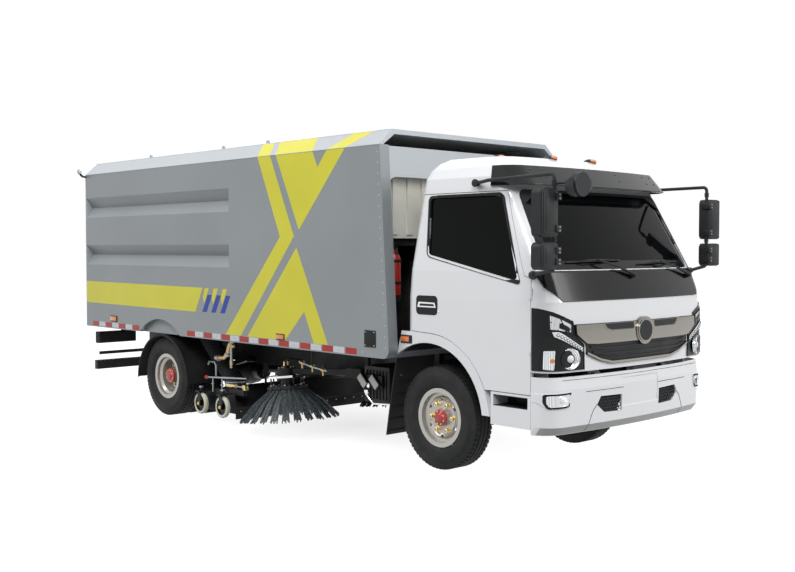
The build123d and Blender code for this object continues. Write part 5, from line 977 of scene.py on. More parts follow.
for side in (-1, 1):
    for outline, index, radius in ((UPPER_BLOCK, 0, 0.005), (LED_STRIP, 1, 0.003), (TURN, 0, 0.006)):
        lay(mesh, [(1.15, side * y, z) for y, z in outline], lamp_skin, BACKWARD, 0.002, index, 0.001,
            SCREEN_CUTS, radius, 0.0, -0.004)
    # black frame of the upper block and its two cross bars
    for a, b in [((0.812, 1.150), (0.962, 1.206)), ((0.846, 1.126), (0.900, 1.224))]:
        start, end = [lamp_point(side * y, z, 0.003)[0] for y, z in (a, b)]
        rod(mesh, start, end, 0.0035, 6, 2)
    # row of LEDs in the slanting strip
    for k in range(LED_COUNT):
        share = (k + 0.5) / LED_COUNT
        spot, normal = lamp_point(side * (0.700 + 0.235 * share), 1.003 + 0.119 * share, 0.002)
        turned(mesh, [(-0.003, 0.0), (-0.003, 0.0095), (0.003, 0.0085), (0.0045, 0.0)], spot, normal,
               12, 3)
        turned(mesh, [(-0.003, 0.0095), (-0.003, 0.0125), (0.003, 0.0115), (0.003, 0.0095),
                      (-0.003, 0.0095)], spot, normal, 12, 2)
    # round main lamp: chromed bowl, dark ring and the lens of the projector
    normal = Vector((0.9, side * 0.42, 0)).normalized()
    spot = lamp_point(side * 0.818, 0.944)[0] + normal * 0.002
    turned(mesh, [(-0.020, 0.074), (0.006, 0.074), (0.009, 0.070), (0.006, 0.066), (-0.006, 0.050),
                  (-0.010, 0.034), (-0.012, 0.0), (-0.020, 0.0), (-0.020, 0.074)], spot, normal, 36)
    turned(mesh, [(-0.012, 0.0), (-0.012, 0.036), (0.004, 0.034), (0.006, 0.030), (0.004, 0.0)],
           spot, normal, 28, 2)
    turned(mesh, [(-0.004, 0.0), (-0.004, 0.030), (0.006, 0.026), (0.013, 0.014), (0.015, 0.0)],
           spot, normal, 28, 3)
    # amber bulb behind the turn lamp's cover
    spot, normal = lamp_point(side * 0.955, 0.936)
    turned(mesh, [(-0.002, 0.0), (-0.002, 0.018), (0.005, 0.015), (0.009, 0.0)], spot, normal, 16, 4)
    # dark seam along the cover's inner and upper edge
    seam = [lamp_point(side * y, z, 0.001)[0] for y, z in HOUSING]
    course(mesh, seam, 0.004, 8, 2)
piece("headlamp_optics", mesh, "cab", "lamp_lens", reflector, led_white, gloss_black, led_white,
      lamp_amber)

# ------------------------------------------------------------------ bumper
# Moulded polypropylene in the cab's white, in three sections, with its downward-facing lower band
# painted grey as painted shade. Hex mesh backs the two inlets, fog lamps sit in the corners, and the
# plate's place is plain.
bumper_skin = surface("bumper")
# a grey that stands in for the shade under the bumper: painted shade on its lower band
painted_shade_grey = sprayed_paint("painted_shade_grey", "#a9aaa8", 0.4, coat=0.2)
BUMPER_CUTS = NOSE_CUTS + [((0, 0, z), (0, 0, 1)) for z in (0.466, 0.5, 0.6, 0.7, 0.726)]


def on_bumper(y, z, off=0.0):
    """Point on the bumper at a place seen from the front, and ahead of it."""
    return seen_ahead(bumper_skin, y, z)[0] + Vector((off, 0, 0))


mesh = bmesh.new()
# the lower band faces down, and its grey strip is painted shade
shaded_lower_band = [(-0.985, 0.463), (0.985, 0.463), (0.985, 0.410), (-0.985, 0.410)]
lay(mesh, at_nose(shaded_lower_band), bumper_skin, BACKWARD, 0.0012, 0, 0.001, BUMPER_CUTS)
# seams: two level lines over the inlets, a slanting joint at each side
for side in (-1, 1):
    for radius, line in (
            (0.0022, [(y, 0.700) for y in (0.225, 0.33, 0.44, 0.545, 0.638)]),
            (0.0024, [(0.520, 0.598), (0.560, 0.560), (0.590, 0.500), (0.604, 0.466),
                      (0.606, 0.412)]),
            (0.0020, [(y, 0.792) for y in (0.0, 0.2, 0.4, 0.6, 0.75, 0.86)])):
        course(mesh, [on_bumper(side * y, z) for y, z in line], radius, 6, 1)
piece("bumper_lines", mesh, "chassis", "cab_white", painted_shade_grey, joint_black_and_painted_shade)

INLET = [(0.240, 0.650), (0.480, 0.655), (0.520, 0.595), (0.440, 0.535), (0.240, 0.530)]
FOG = [(0.790, 0.708), (0.812, 0.604), (0.968, 0.596), (0.985, 0.640), (0.985, 0.700)]
hex_black = dusty("hex_black", "#33373b", "#4a4e52", 0.4, 300.0)
mesh = bmesh.new()
CELL = 0.030
CELL_WALL = 0.0026
CELL_DEPTH = 0.006


def in_inlet(y, z):
    """Whether a cell's centre lies in the inlet's opening, seen from the front."""
    if y > 0.44 and z - 0.535 < (y - 0.44) * 0.75:
        return False
    return (0.244 < y < 0.30 or y < 0.500 - max(0.0, z - 0.595) * 0.2) and 0.536 < z < 0.648


for side in (-1, 1):
    # backing sheet a little behind the inlet, its black a painted shade in the opening, and the
    # hexagons over it
    sheet = [(1.150, side * (y + (0.02 if y > 0.3 else -0.02)), z + (0.02 if z > 0.59 else -0.02))
             for y, z in INLET]
    prism(mesh, sheet, (0.004, 0, 0), 1)
    for row in range(7):
        for col in range(13):
            y = 0.232 + col * CELL * 0.87
            z = 0.530 + row * CELL * 0.75
            y += CELL * 0.435 if row % 2 else 0.0
            if not in_inlet(y, z):
                continue
            x = 1.222 - 0.078 * y * y
            ring = bmesh.new()
            bmesh.ops.create_circle(ring, cap_ends=True, segments=6, radius=CELL * 0.5)
            bmesh.ops.inset_region(ring, faces=ring.faces[:], thickness=CELL_WALL, use_boundary=True)
            centre_face = min(ring.faces, key=lambda f: f.calc_center_median().length)
            bmesh.ops.delete(ring, geom=[centre_face], context="FACES")
            grown = bmesh.ops.extrude_face_region(ring, geom=ring.faces[:])["geom"]
            bmesh.ops.translate(ring, verts=[g for g in grown if isinstance(g, bmesh.types.BMVert)],
                                vec=(0, 0, CELL_DEPTH))
            bmesh.ops.recalc_face_normals(ring, faces=ring.faces)
            place = Matrix.Translation((x - 0.008, side * y, z))
            bmesh.ops.transform(ring, matrix=place @ Matrix.Rotation(math.pi / 2, 4, "Y"),
                                verts=ring.verts)
            merge(mesh, ring, 0)
piece("inlet_mesh", mesh, "chassis", "gloss_black", hex_black, joint_black_and_painted_shade)

mesh = bmesh.new()
for side in (-1, 1):
    fog = [(1.1, side * y, z) for y, z in FOG]
    # the dark layer round the fog lamp's reflector is painted shade in its recess
    lay(mesh, fog, bumper_skin, BACKWARD, 0.0025, 1, 0.001, BUMPER_CUTS, 0.012)
    lay(mesh, fog, bumper_skin, BACKWARD, 0.0040, 0, 0.001, BUMPER_CUTS, 0.012, 0.0, -0.012)
    spot = on_bumper(side * 0.880, 0.652, 0.003)
    normal = Vector((0.80, side * 0.6, 0)).normalized()
    turned(mesh, [(-0.010, 0.0), (-0.010, 0.040), (0.005, 0.038), (0.007, 0.034), (0.003, 0.026),
                  (0.002, 0.0)], spot, normal, 28, 2)
    turned(mesh, [(-0.004, 0.0), (-0.004, 0.022), (0.006, 0.016), (0.009, 0.0)], spot, normal, 24, 3)
piece("fog_lamps", mesh, "chassis", "lamp_lens", reflector, joint_black_and_painted_shade, chrome, led_white)

# ------------------------------------------------------------------ sun visor and roof lamps
# A smoked acrylic visor is screwed to upright brackets ahead of the roof; four black marker
# lamps with amber lenses stand on the roof behind it.
smoked_acrylic = sprayed_paint("smoked_acrylic", "#131517", 0.12, coat=0.1, spread=0.15, peel=0.0,
                               gloss=0.35)
dress(smoked_acrylic, "visor")
visor_skin = surface("visor")
mesh = bmesh.new()
for y in (-0.760, -0.640, -0.220, 0.220, 0.640, 0.760):
    for z in (2.290, 2.236):
        found, normal = seen_ahead(visor_skin, y, z)
        turned(mesh, [(-0.002, 0.0), (-0.002, 0.0095), (0.0025, 0.008), (0.004, 0.0)], found,
               normal, 14, 0)
        turned(mesh, [(0.002, 0.0), (0.002, 0.004), (0.0052, 0.003), (0.0052, 0.0)], found,
               normal, 6, 1)
# lower lip of the visor, a thickened edge
edge = []
for k in range(25):
    y = -0.90 + 0.075 * k
    found = visor_skin.ray_cast(Vector((1.6, y, 2.1745)), Vector((-1, 0, 0)), 2.0)[0]
    if found:
        edge.append(found)
course(mesh, edge, 0.0055, 8, 0)
piece("visor_screws", mesh, "cab", "gloss_black", gloss_black, galvanised)

roof_skin = surface("cab_roof")
mesh = bmesh.new()
for x, y in [(0.330, -0.600), (0.330, 0.600), (0.556, -0.25), (0.556, 0.25)]:
    found = roof_skin.ray_cast(Vector((x, y, 3.0)), Vector((0, 0, -1)), 2.0)[0]
    for index, ahead, up, half, around in ((0, 0.0, 0.0, (0.062, 0.036, 0.030), 20),
                                           (1, 0.022, 0.008, (0.044, 0.028, 0.020), 16)):
        dome = bmesh.new()
        bmesh.ops.create_uvsphere(dome, u_segments=around, v_segments=around // 2 + 2, radius=1.0,
                                  matrix=Matrix.Translation(found + Vector((ahead, 0, up)))
                                  @ Matrix.Diagonal((*half, 1)))
        merge(mesh, dome, index)
piece("roof_markers", mesh, "cab", "gloss_black", moulded_black, lamp_amber)

# ------------------------------------------------------------------ mirrors
# Bent steel tube in black powder coat carries two ribbed ABS heads on clamps each side, with
# silvered glass facing back, and an egg-shaped look-down mirror ahead of the near side.
silvered_glass = sprayed_paint("silvered_glass", "#c9d0d4", 0.03, spread=0.02, peel=0.0,
                               metallic=1.0)
TUBE_Y = 1.100
HEAD_HALF = 0.0925  # half the width of a mirror's head
# side's letter, side, station of the upright tube
for letter, side, upright in (("R", -1, 1.270), ("L", 1, 1.110)):
    mesh = bmesh.new()
    y = side * TUBE_Y
    centre_y = side * (TUBE_Y + HEAD_HALF - 0.015)
    back_x = upright - 0.060
    for low, high in ((1.790, 2.115), (1.570, 1.755)):
        # glass in a bevelled rim on the back of the head
        panel = [(back_x, centre_y - 0.075, low + 0.018), (back_x, centre_y + 0.075, low + 0.018),
                 (back_x, centre_y + 0.075, high - 0.018), (back_x, centre_y - 0.075, high - 0.018)]
        prism(mesh, rounded(panel, 0.030, 5), (-0.0025, 0, 0), 1)
        # domed front with a raised rib round it
        for inset, reach in ((0.006, 0.006), (0.020, 0.012), (0.040, 0.016)):
            wide = HEAD_HALF - inset
            box(mesh, (upright + 0.016, centre_y - wide, low + inset),
                (upright + 0.020 + reach, centre_y + wide, high - inset), 0, 0.006)
        # clamps round the tube: a block, two bolts and a ribbed collar
        for z in (low + 0.055, high - 0.055):
            box(mesh, (upright - 0.030, y - 0.026, z - 0.024),
                (upright + 0.044, y + 0.026, z + 0.024), 0, 0.005)
            for bolt_z in (z - 0.012, z + 0.012):
                rod(mesh, (upright + 0.040, y, bolt_z), (upright + 0.050, y, bolt_z), 0.006, 6, 2)
    for z in (1.775, 2.150):
        for k in range(3):
            turned(mesh, [(0.0, 0.013), (0.0, 0.019), (0.008, 0.019), (0.008, 0.013), (0.0, 0.013)],
                   (upright, y, z - 0.012 + 0.011 * k), UP, 18)
    # rubber foot and bracket where the tube meets the nose
    foot = Vector((1.010, side * 1.002, 1.530))
    turned(mesh, [(-0.010, 0.0), (-0.010, 0.032), (0.004, 0.030), (0.026, 0.020), (0.034, 0.014),
                  (0.034, 0.0)], foot, (0.75, side * 0.6, 0.25), 24)
    turned(mesh, [(0.0, 0.0), (0.0, 0.030), (0.010, 0.028), (0.016, 0.0)],
           (0.424, side * 0.960, 2.195), (0, side, 0), 20)
    piece("mirror_heads_" + letter, mesh, "cab", "mirror_black", moulded_black, silvered_glass,
          galvanised)

mesh = bmesh.new()
dish = Vector((1.390, -1.010, 2.140))
# egg-shaped shell cut flat at the back, a rolled edge and the convex glass let into it
pod = bmesh.new()
bmesh.ops.create_uvsphere(pod, u_segments=40, v_segments=24, radius=1.0)
bmesh.ops.bisect_plane(pod, geom=pod.verts[:] + pod.edges[:] + pod.faces[:], plane_co=(0, 0, 0),
                       plane_no=(-1, 0, 0), clear_outer=True)
rim = [edge for edge in pod.edges if edge.is_boundary]
made = bmesh.ops.contextual_create(pod, geom=rim)["faces"]
for faces, wide, deep in ((made, 0.08, 0.0), (None, 0.02, -0.06)):
    faces = faces or [max(pod.faces, key=lambda face: face.calc_area())]
    bmesh.ops.inset_region(pod, faces=faces, thickness=wide, depth=deep, use_boundary=True)
max(pod.faces, key=lambda face: face.calc_area()).material_index = 1
bmesh.ops.recalc_face_normals(pod, faces=pod.faces)
shape = (Matrix.Translation(dish + Vector((0.004, 0.012, -0.004)))
         @ Matrix.Rotation(math.radians(9), 4, "X") @ Matrix.Diagonal((0.044, 0.150, 0.078, 1.0)))
bmesh.ops.transform(pod, matrix=shape, verts=pod.verts)
merge(mesh, pod, None)
turned(mesh, [(-0.014, 0.0), (-0.014, 0.014), (0.014, 0.014), (0.014, 0.0)], (1.372, -1.092, 2.150),
       UP, 16, 0)
piece("look_down_mirror", mesh, "cab", "mirror_black", moulded_black, silvered_glass)

# ------------------------------------------------------------------ steps, and arch shells of painted shade
# The steps' foot holes are lined in moulded black plastic with raised treads, and black
# ribbed shells close the wheel arches, their black a painted shade inside the arch.
mesh = bmesh.new()
STEP_BACK = 0.614
HOLE_BACK = STEP_BACK + 0.026
HOLE_FRONT = 0.957
for side in (-1, 1):
    for k in range(11):
        x = STEP_BACK + 0.045 + 0.028 * k
        box(mesh, (x, side * 0.830, 0.5815), (x + 0.012, side * 0.985, 0.5865), 0, 0.0015)
    # black liner at the back, the roof and the floor of the foot hole
    box(mesh, (HOLE_BACK, side * 0.829, 0.583), (HOLE_FRONT, side * 0.833, 0.661), 0, 0.001)
    for z in (0.5822, 0.6590):
        box(mesh, (HOLE_BACK, side * 0.833, z), (HOLE_FRONT, side * 0.9985, z + 0.0026), 0, 0.0008)
    # steel-edged upper tread under the door
    box(mesh, (STEP_BACK + 0.006, side * 0.835, 0.6775), (0.982, side * 0.996, 0.6815), 1, 0.001)
piece("step_treads", mesh, "chassis", "gloss_black", moulded_black, galvanised)

mesh = bmesh.new()
ARCH = Vector((-0.030, 0, 0.420))  # centre of the wheel arch
ARCH_START = math.radians(7)
ARCH_SPAN = math.radians(109)
for side in (-1, 1):
    inner, outer = sorted((side * 0.425, side * 0.968))
    # a shell 3 mm thick just inside the arch, black as painted shade
    sweep = bmesh.new()
    sweep.faces.new([sweep.verts.new(ARCH + wheel_point(ARCH_START, radius, y)) for y, radius in
                     ((inner, 0.6245), (outer, 0.6245), (outer, 0.6275), (inner, 0.6275))])
    bmesh.ops.spin(sweep, geom=sweep.verts[:] + sweep.edges[:] + sweep.faces[:], cent=ARCH,
                   axis=(0, -1, 0), angle=ARCH_SPAN, steps=40, use_duplicate=False, use_merge=False)
    bmesh.ops.recalc_face_normals(sweep, faces=sweep.faces)
    merge(mesh, sweep, 0)
    for k in range(9):
        angle = math.radians(14 + 12 * k)
        low, high = [ARCH + wheel_point(angle, 0.622, y) for y in (inner + 0.02, outer - 0.02)]
        rod(mesh, low, high, 0.006, 8)
piece("arch_shade_shells", mesh, "cab", "rubber", moulded_black)

# ------------------------------------------------------------------ mudguards and flaps
# Black moulded covers over the twin wheels with a rolled edge, and ribbed rubber flaps behind
# the front wheels.
mesh = bmesh.new()
# the cover's circle runs through its two feet and its crown
GUARD_HALF = 0.480
GUARD_RISE = 0.464
GUARD_FOOT = 0.3625
guard_r = (GUARD_HALF ** 2 + GUARD_RISE ** 2) / (2 * GUARD_RISE)
guard_z = GUARD_FOOT + GUARD_RISE - guard_r
spread = math.asin(min(1.0, GUARD_HALF / guard_r))
for side in (-1, 1):
    turns = [-spread + 2 * spread * k / 32 for k in range(33)]
    edge = [(REAR_X + guard_r * math.sin(angle), side * 1.084, guard_z + guard_r * math.cos(angle))
            for angle in turns]
    course(mesh, edge, 0.0085, 8)
    for k in range(5):
        low = Vector((-0.478, 0, 0.630)).lerp(Vector((-0.545, 0, 0.235)), k / 4)
        box(mesh, (low.x + 0.010, side * 0.545, low.z - 0.006),
            (low.x + 0.018, side * 0.935, low.z + 0.006), 0, 0.002)
    for y2 in (0.60, 0.88):
        turned(mesh, [(0.0, 0.0), (0.0, 0.012), (0.004, 0.010), (0.006, 0.0)],
               (-0.4555, side * y2, 0.700), (0.95, 0, 0.2), 12, 1)
piece("guard_edges", mesh, "chassis", "rubber", black_rubber, galvanised)

# ------------------------------------------------------------------ side brooms
# Each broom is a steel plate packed with flat bundles of stiff polypropylene bristle that
# splay outwards, under a chromed guard ring on posts. A hydraulic motor turns it from above.
BROOM_AT = (-2.140, 0.740, 0.400)
BROOM_TILT = math.radians(6)
TUFTS = 26
BLADES = 7
ROOT_R = 0.152  # where the bristles leave the plate
BRISTLE_SPREAD = 0.312
BRISTLE_DROP = 0.282
LEAN = math.atan2(BRISTLE_DROP, BRISTLE_SPREAD)
BRISTLE_LENGTH = math.hypot(BRISTLE_DROP, BRISTLE_SPREAD)
bristle_plastic = coloured("bristle_plastic", dict(Scale=60.0, Detail=4.0),
                           [(0.30, "#23282b"), (0.52, "#3a4144"), (0.75, "#6d777b")],
                           Roughness=0.4, Coat_Weight=0.2)


def broom_frame(side):
    """Matrix from a broom's own frame, its axis up, to the truck's."""
    turn = Matrix.Rotation(-BROOM_TILT, 4, "Y")
    return Matrix.Translation((BROOM_AT[0], side * BROOM_AT[1], BROOM_AT[2])) @ turn


def blade(k, b):
    """One flat bristle of a tuft as a bmesh: square in section, bent, at the front of the plate."""
    # blades fan out across the tuft, and end at slightly different lengths
    share = (b - (BLADES - 1) / 2) / (BLADES - 1)
    length = BRISTLE_LENGTH * (0.97 + 0.03 * math.sin(2.3 * b + 1.7 * k))
    rise = 0.006 * math.sin(1.9 * b + 0.8 * k)
    start = Vector((ROOT_R, share * 0.022, 0.010))
    end = Vector((ROOT_R + length * math.cos(LEAN), share * 0.062,
                  0.010 - length * math.sin(LEAN) + rise))
    bend = start.lerp(end, 0.55) + Vector((0.010, 0, 0.012))
    across = Vector((0, 1, 0))
    out = Vector((math.sin(LEAN), 0, math.cos(LEAN)))
    made = bmesh.new()
    sections = ((start, 0.0016, 0.008), (bend, 0.0036, 0.007), (end, 0.0046, 0.0055))
    verts = [made.verts.new(spot + across * u * wide + out * v * thick)
             for spot, wide, thick in sections for u, v in ((-1, -1), (1, -1), (1, 1), (-1, 1))]
    for first in (0, 4):
        for i in range(4):
            j = (i + 1) % 4
            made.faces.new((verts[first + i], verts[first + j], verts[first + 4 + j],
                            verts[first + 4 + i]))
    made.faces.new(verts[3::-1])
    made.faces.new(verts[8:])
    bmesh.ops.recalc_face_normals(made, faces=made.faces)
    return made


for letter, side in SIDES:
    mesh = bmesh.new()
    for k in range(TUFTS):
        turn = Matrix.Rotation(math.tau * k / TUFTS, 4, "Z")
        for b in range(BLADES):
            bristle = blade(k, b)
            bmesh.ops.transform(bristle, matrix=turn, verts=bristle.verts)
            merge(mesh, bristle, 0)
    # plate with a rolled rim, bolts and the clamp band over the bristle roots
    turned(mesh, [(-0.004, 0.0), (-0.004, 0.150), (0.002, 0.172), (0.010, 0.181), (0.034, 0.181),
                  (0.040, 0.174), (0.036, 0.080), (0.034, 0.0), (-0.004, 0.0)], (0, 0, 0), UP, 48, 1)
    for angle in circle_angles(12):
        rod(mesh, round_point(angle, 0.128, 0.034), round_point(angle, 0.128, 0.044), 0.009, 6, 3)
        # lugs that clamp the bristle packs
        rod(mesh, round_point(angle, 0.181, 0.006), round_point(angle, 0.181, 0.030), 0.010, 8, 1)
    # slotted guard ring: two hoops joined by short webs, on six posts
    for inner, outer in ((0.168, 0.184), (0.142, 0.153)):
        turned(mesh, [(0.113, inner), (0.113, outer), (0.132, outer), (0.134, (inner + outer) / 2),
                      (0.132, inner), (0.113, inner)], (0, 0, 0), UP, 64, 2)
    for angle in circle_angles(16):
        rod(mesh, round_point(angle, 0.147, 0.1225), round_point(angle, 0.176, 0.1225), 0.0085, 8, 2)
    for angle in circle_angles(6, math.radians(15)):
        for low, high, radius, segments, index in ((0.030, 0.122, 0.0075, 12, 1),
                                                   (0.034, 0.050, 0.013, 6, 3)):
            rod(mesh, round_point(angle, 0.160, low), round_point(angle, 0.160, high), radius,
                segments, index)
    bmesh.ops.transform(mesh, matrix=broom_frame(side), verts=mesh.verts)
    made = piece("broom_bristles_" + letter, mesh, "broom_" + letter, "bristle", bristle_plastic,
                 chassis_enamel, chrome, galvanised)
    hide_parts("broom_" + letter)

    # motor: ribbed cast body, ports with plated unions, and hoses up to the arm
    mesh = bmesh.new()
    for k in range(5):
        turned(mesh, [(0.116, 0.080), (0.116, 0.0865), (0.122, 0.0865), (0.122, 0.080),
                      (0.116, 0.080)], (0, 0, 0.016 * k), UP, 36, 0)
    for angle in circle_angles(6):
        rod(mesh, round_point(angle, 0.068, 0.200), round_point(angle, 0.068, 0.211), 0.009, 6, 1)
    for y in (-0.020, 0.020):
        rod(mesh, (0.0, y, 0.220), (0.0, y, 0.244), 0.013, 6, 2)
        rod(mesh, (0.0, y, 0.243), (0.010, y, 0.262), 0.010, 12, 2)
        course(mesh, [(0.010, y, 0.262), (0.060, y * 1.1, 0.282), (0.130, y * 1.2, 0.272),
                      (0.205, y * 1.3, 0.262)], 0.0095, 10, 3)
    bmesh.ops.transform(mesh, matrix=broom_frame(side), verts=mesh.verts)
    piece("broom_motor_" + letter, mesh, "broom_arm_" + letter, "frame_black", chassis_enamel,
          galvanised, brass_plate, black_rubber)
dress(chassis_enamel, "broom_arm_R", "broom_arm_L", "broom_bracket_R", "broom_bracket_L")

# ------------------------------------------------------------------ suction nozzle and casters
# Welded steel nozzle on four casters with cream polyurethane tyres, rubber skirts along its
# edges, and the red-tipped lever and brass valve gear at its ends.
dress(chassis_enamel, "nozzle")
polyurethane = sprayed_paint("polyurethane", "#d9dcc4", 0.35, spread=0.04, peel=0.1)
CASTERS = (("F", -2.850), ("R", -3.225))
CASTER_Y = 0.985
CASTER_Z = 0.180
CASTER_TYRE = [(-0.020, 0.078), (-0.0225, 0.092), (-0.018, 0.101), (-0.008, 0.105), (0.008, 0.105),
               (0.018, 0.101), (0.0225, 0.092), (0.020, 0.078), (-0.020, 0.078)]
CASTER_RIM = [(-0.019, 0.0795), (-0.019, 0.070), (-0.006, 0.064), (-0.006, 0.030),
              (-0.021, 0.026), (-0.021, 0.0108), (0.021, 0.0108), (0.021, 0.026), (0.006, 0.030),
              (0.006, 0.064), (0.019, 0.070), (0.019, 0.0795), (-0.019, 0.0795)]
for letter, station in CASTERS:
    for tail, side in SIDES:
        mesh = bmesh.new()
        centre = Vector((station, side * CASTER_Y, CASTER_Z))
        turned(mesh, CASTER_TYRE, centre, (0, 1, 0), 48, 0)
        turned(mesh, CASTER_RIM, centre, (0, 1, 0), 40, 1)
        # dark plugs in the rim's web: painted shade where its holes are
        for angle in circle_angles(5):
            rod(mesh, centre + wheel_point(angle, 0.047, -0.0075),
                centre + wheel_point(angle, 0.047, 0.0075), 0.008, 10, 2)
        made = piece("caster_wheel_" + letter + tail, mesh, "caster_" + letter + tail, "caster_cream",
                     polyurethane, gloss_black, joint_black_and_painted_shade)
        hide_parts("caster_" + letter + tail)

mesh = bmesh.new()
for side in (-1, 1):
    for _, station in CASTERS:
        for end, radius, segments in ((1.024, 0.017, 6), (1.032, 0.009, 12)):
            rod(mesh, (station, side * 1.012, CASTER_Z), (station, side * end, CASTER_Z), radius,
                segments, 1)
        stem = [(CASTER_Y, 0.308, 0.345, 0.016, 14, 0), (CASTER_Y, 0.336, 0.352, 0.024, 6, 2)]
        for y, low, high, radius, segments, index in stem:
            rod(mesh, (station, side * y, low), (station, side * y, high), radius, segments, index)
    # adjusting screws that level the cheeks
    for station in (-2.960, -3.120):
        for low, high, radius, segments in ((0.300, 0.440, 0.008, 10), (0.372, 0.386, 0.016, 6)):
            rod(mesh, (station, side * 0.918, low), (station, side * 0.918, high), radius,
                segments, 2)
    # lever with its red grip
    course(mesh, [(-3.165, side * 0.955, 0.441), (-2.950, side * 0.930, 0.452),
                  (-2.640, side * 0.860, 0.463)], 0.009, 10, 2)
    turned(mesh, [(-0.006, 0.0), (-0.006, 0.016), (0.010, 0.020), (0.034, 0.018), (0.044, 0.0)],
           (-3.160, side * 0.955, 0.441), (-1, side * -0.03, 0), 18, 3)
    # cranked handle above it
    course(mesh, [(-3.222, side * 0.905, 0.560), (-3.205, side * 0.905, 0.588),
                  (-3.110, side * 0.905, 0.590), (-3.085, side * 0.905, 0.560),
                  (-3.083, side * 0.905, 0.440)], 0.009, 10, 2)
    # brass-plated ram that sets the front flap
    rod(mesh, (-2.895, side * 0.905, 0.385), (-2.770, side * 0.885, 0.380), 0.019, 16, 1)
    rod(mesh, (-2.770, side * 0.885, 0.380), (-2.655, side * 0.870, 0.376), 0.009, 12, 2)
    box(mesh, (-2.668, side * 0.846, 0.350), (-2.620, side * 0.888, 0.402), 1, 0.004)
    box(mesh, (-2.9, side * 0.846, 0.296), (-2.64, side * 0.888, 0.352), 0, 0.004)
# rubber skirts and the screws that hold them
for low_x, high_x in ((-2.7605, -2.754), (-3.306, -3.2995)):
    box(mesh, (low_x, -0.900, 0.060), (high_x, 0.900, 0.150), 4, 0.002)
for k in range(15):
    y = -0.840 + 0.12 * k
    for x, aim in ((-2.7535, 1), (-3.3065, -1)):
        turned(mesh, [(-0.006, 0.0), (-0.006, 0.008), (0.002, 0.007), (0.003, 0.0)], (x, y, 0.135),
               (aim, 0, 0), 10, 2)
piece("nozzle_gear", mesh, "nozzle", "frame_black", chassis_enamel, brass_plate, galvanised,
      signal_red, black_rubber)

# ------------------------------------------------------------------ suction hose
# A slanted duct of corrugated rubber joins the nozzle's collar to the body floor, with a
# steel clamp at each end.
HOSE_LOW = Vector((-3.000, -0.730, 0.3865))
HOSE_HIGH = Vector((-3.420, -0.790, 0.8415))
HOSE_R = 0.105
RINGS = 26
STEPS = 40
hose_rubber = dusty("hose_rubber", "#2e3134", "#474b4e", 0.55, 260.0, 0.25)
path = HOSE_HIGH - HOSE_LOW
waves = ((0.0, HOSE_R - 0.008), (0.35, HOSE_R + 0.001), (0.65, HOSE_R + 0.001))
profile = [((k + share) / RINGS, radius) for k in range(RINGS) for share, radius in waves]
profile.append((1.0, HOSE_R - 0.008))
loops = []
hose = bmesh.new()
for along, radius in profile:
    middle = HOSE_LOW + path * along
    loop = [hose.verts.new(middle + round_point(angle, radius)) for angle in circle_angles(STEPS)]
    loops.append([hose.edges.new((loop[k], loop[(k + 1) % STEPS])) for k in range(STEPS)])
for a, b in zip(loops, loops[1:]):
    bmesh.ops.bridge_loops(hose, edges=a + b)
bmesh.ops.holes_fill(hose, edges=loops[0] + loops[-1], sides=STEPS)
bmesh.ops.recalc_face_normals(hose, faces=hose.faces)
mesh = bmesh.new()
merge(mesh, hose, 0)
for middle in (HOSE_LOW + path * 0.018, HOSE_LOW + path * 0.982):
    turned(mesh, [(-0.007, HOSE_R - 0.004), (-0.007, HOSE_R + 0.0035), (0.007, HOSE_R + 0.0035),
                  (0.007, HOSE_R - 0.004), (-0.007, HOSE_R - 0.004)], middle, (0, 0, 1), 40, 1)
made = piece("corrugated_hose", mesh, None, "rubber", hose_rubber, galvanised)
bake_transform(made)
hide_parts("suction_hose")

# ------------------------------------------------------------------ pipework under the body
# Plated elbows and unions feed the spray bars ahead of the brooms. A pair of square filter
# covers hangs on a bracket behind the front wheel, with a chromed union and a bent wash pipe.
brass_pipe = sprayed_paint("brass_pipe", "#b59a6c", 0.34, spread=0.1, metallic=0.9)
mesh = bmesh.new()
for side in (-1, 1):
    y = side * 0.930
    elbow = [(-3.020, y, 0.640), (-2.900, y, 0.652), (-2.845, y, 0.690), (-2.825, y, 0.745),
             (-2.800, y, 0.795), (-2.770, y, 0.800), (-2.748, y, 0.778)]
    course(mesh, elbow, 0.022, 16, 0)
    turned(mesh, [(-0.030, 0.0), (-0.030, 0.030), (-0.010, 0.030), (-0.006, 0.025), (0.022, 0.025),
                  (0.024, 0.0)], elbow[0], (-1, 0, 0), 20, 1)
    turned(mesh, [(-0.014, 0.0), (-0.014, 0.029), (0.014, 0.029), (0.014, 0.0)], elbow[2],
           (0.6, 0, 0.8), 20, 1)
    turned(mesh, [(0.0, 0.0), (0.0, 0.030), (0.030, 0.030), (0.034, 0.0)], (-2.760, y, 0.805), UP,
           20, 1)
    rod(mesh, (-2.780, y, 0.790), (-2.785, y, 0.560), 0.012, 14, 1)
    turned(mesh, [(-0.020, 0.0), (-0.020, 0.018), (0.020, 0.018), (0.020, 0.0)],
           (-2.784, y, 0.610), UP, 6, 0)
    # spray bar and its unions ahead of the broom
    bar = [(-1.760, y * 0.96, 0.700), (-1.560, y * 0.98, 0.672), (-1.360, y * 0.99, 0.655)]
    course(mesh, bar, 0.011, 12, 1)
    for share in (0.1, 0.5, 0.9):
        spot = Vector(bar[0]).lerp(Vector(bar[2]), share)
        turned(mesh, [(-0.016, 0.0), (-0.016, 0.019), (0.016, 0.019), (0.016, 0.0)], spot,
               (1, 0, -0.1), 6, 0)
        rod(mesh, spot, spot - Vector((0, 0, 0.052)), 0.010, 6, 0)
    # hangers that carry both from the floor
    rod(mesh, (-2.760, y, 0.845), (-2.760, y, 0.800), 0.008, 10, 2)
    rod(mesh, (-1.560, y * 0.98, 0.845), (-1.560, y * 0.98, 0.672), 0.008, 10, 2)
piece("pipework", mesh, "chassis", "frame_black", brass_pipe, galvanised, chassis_enamel)

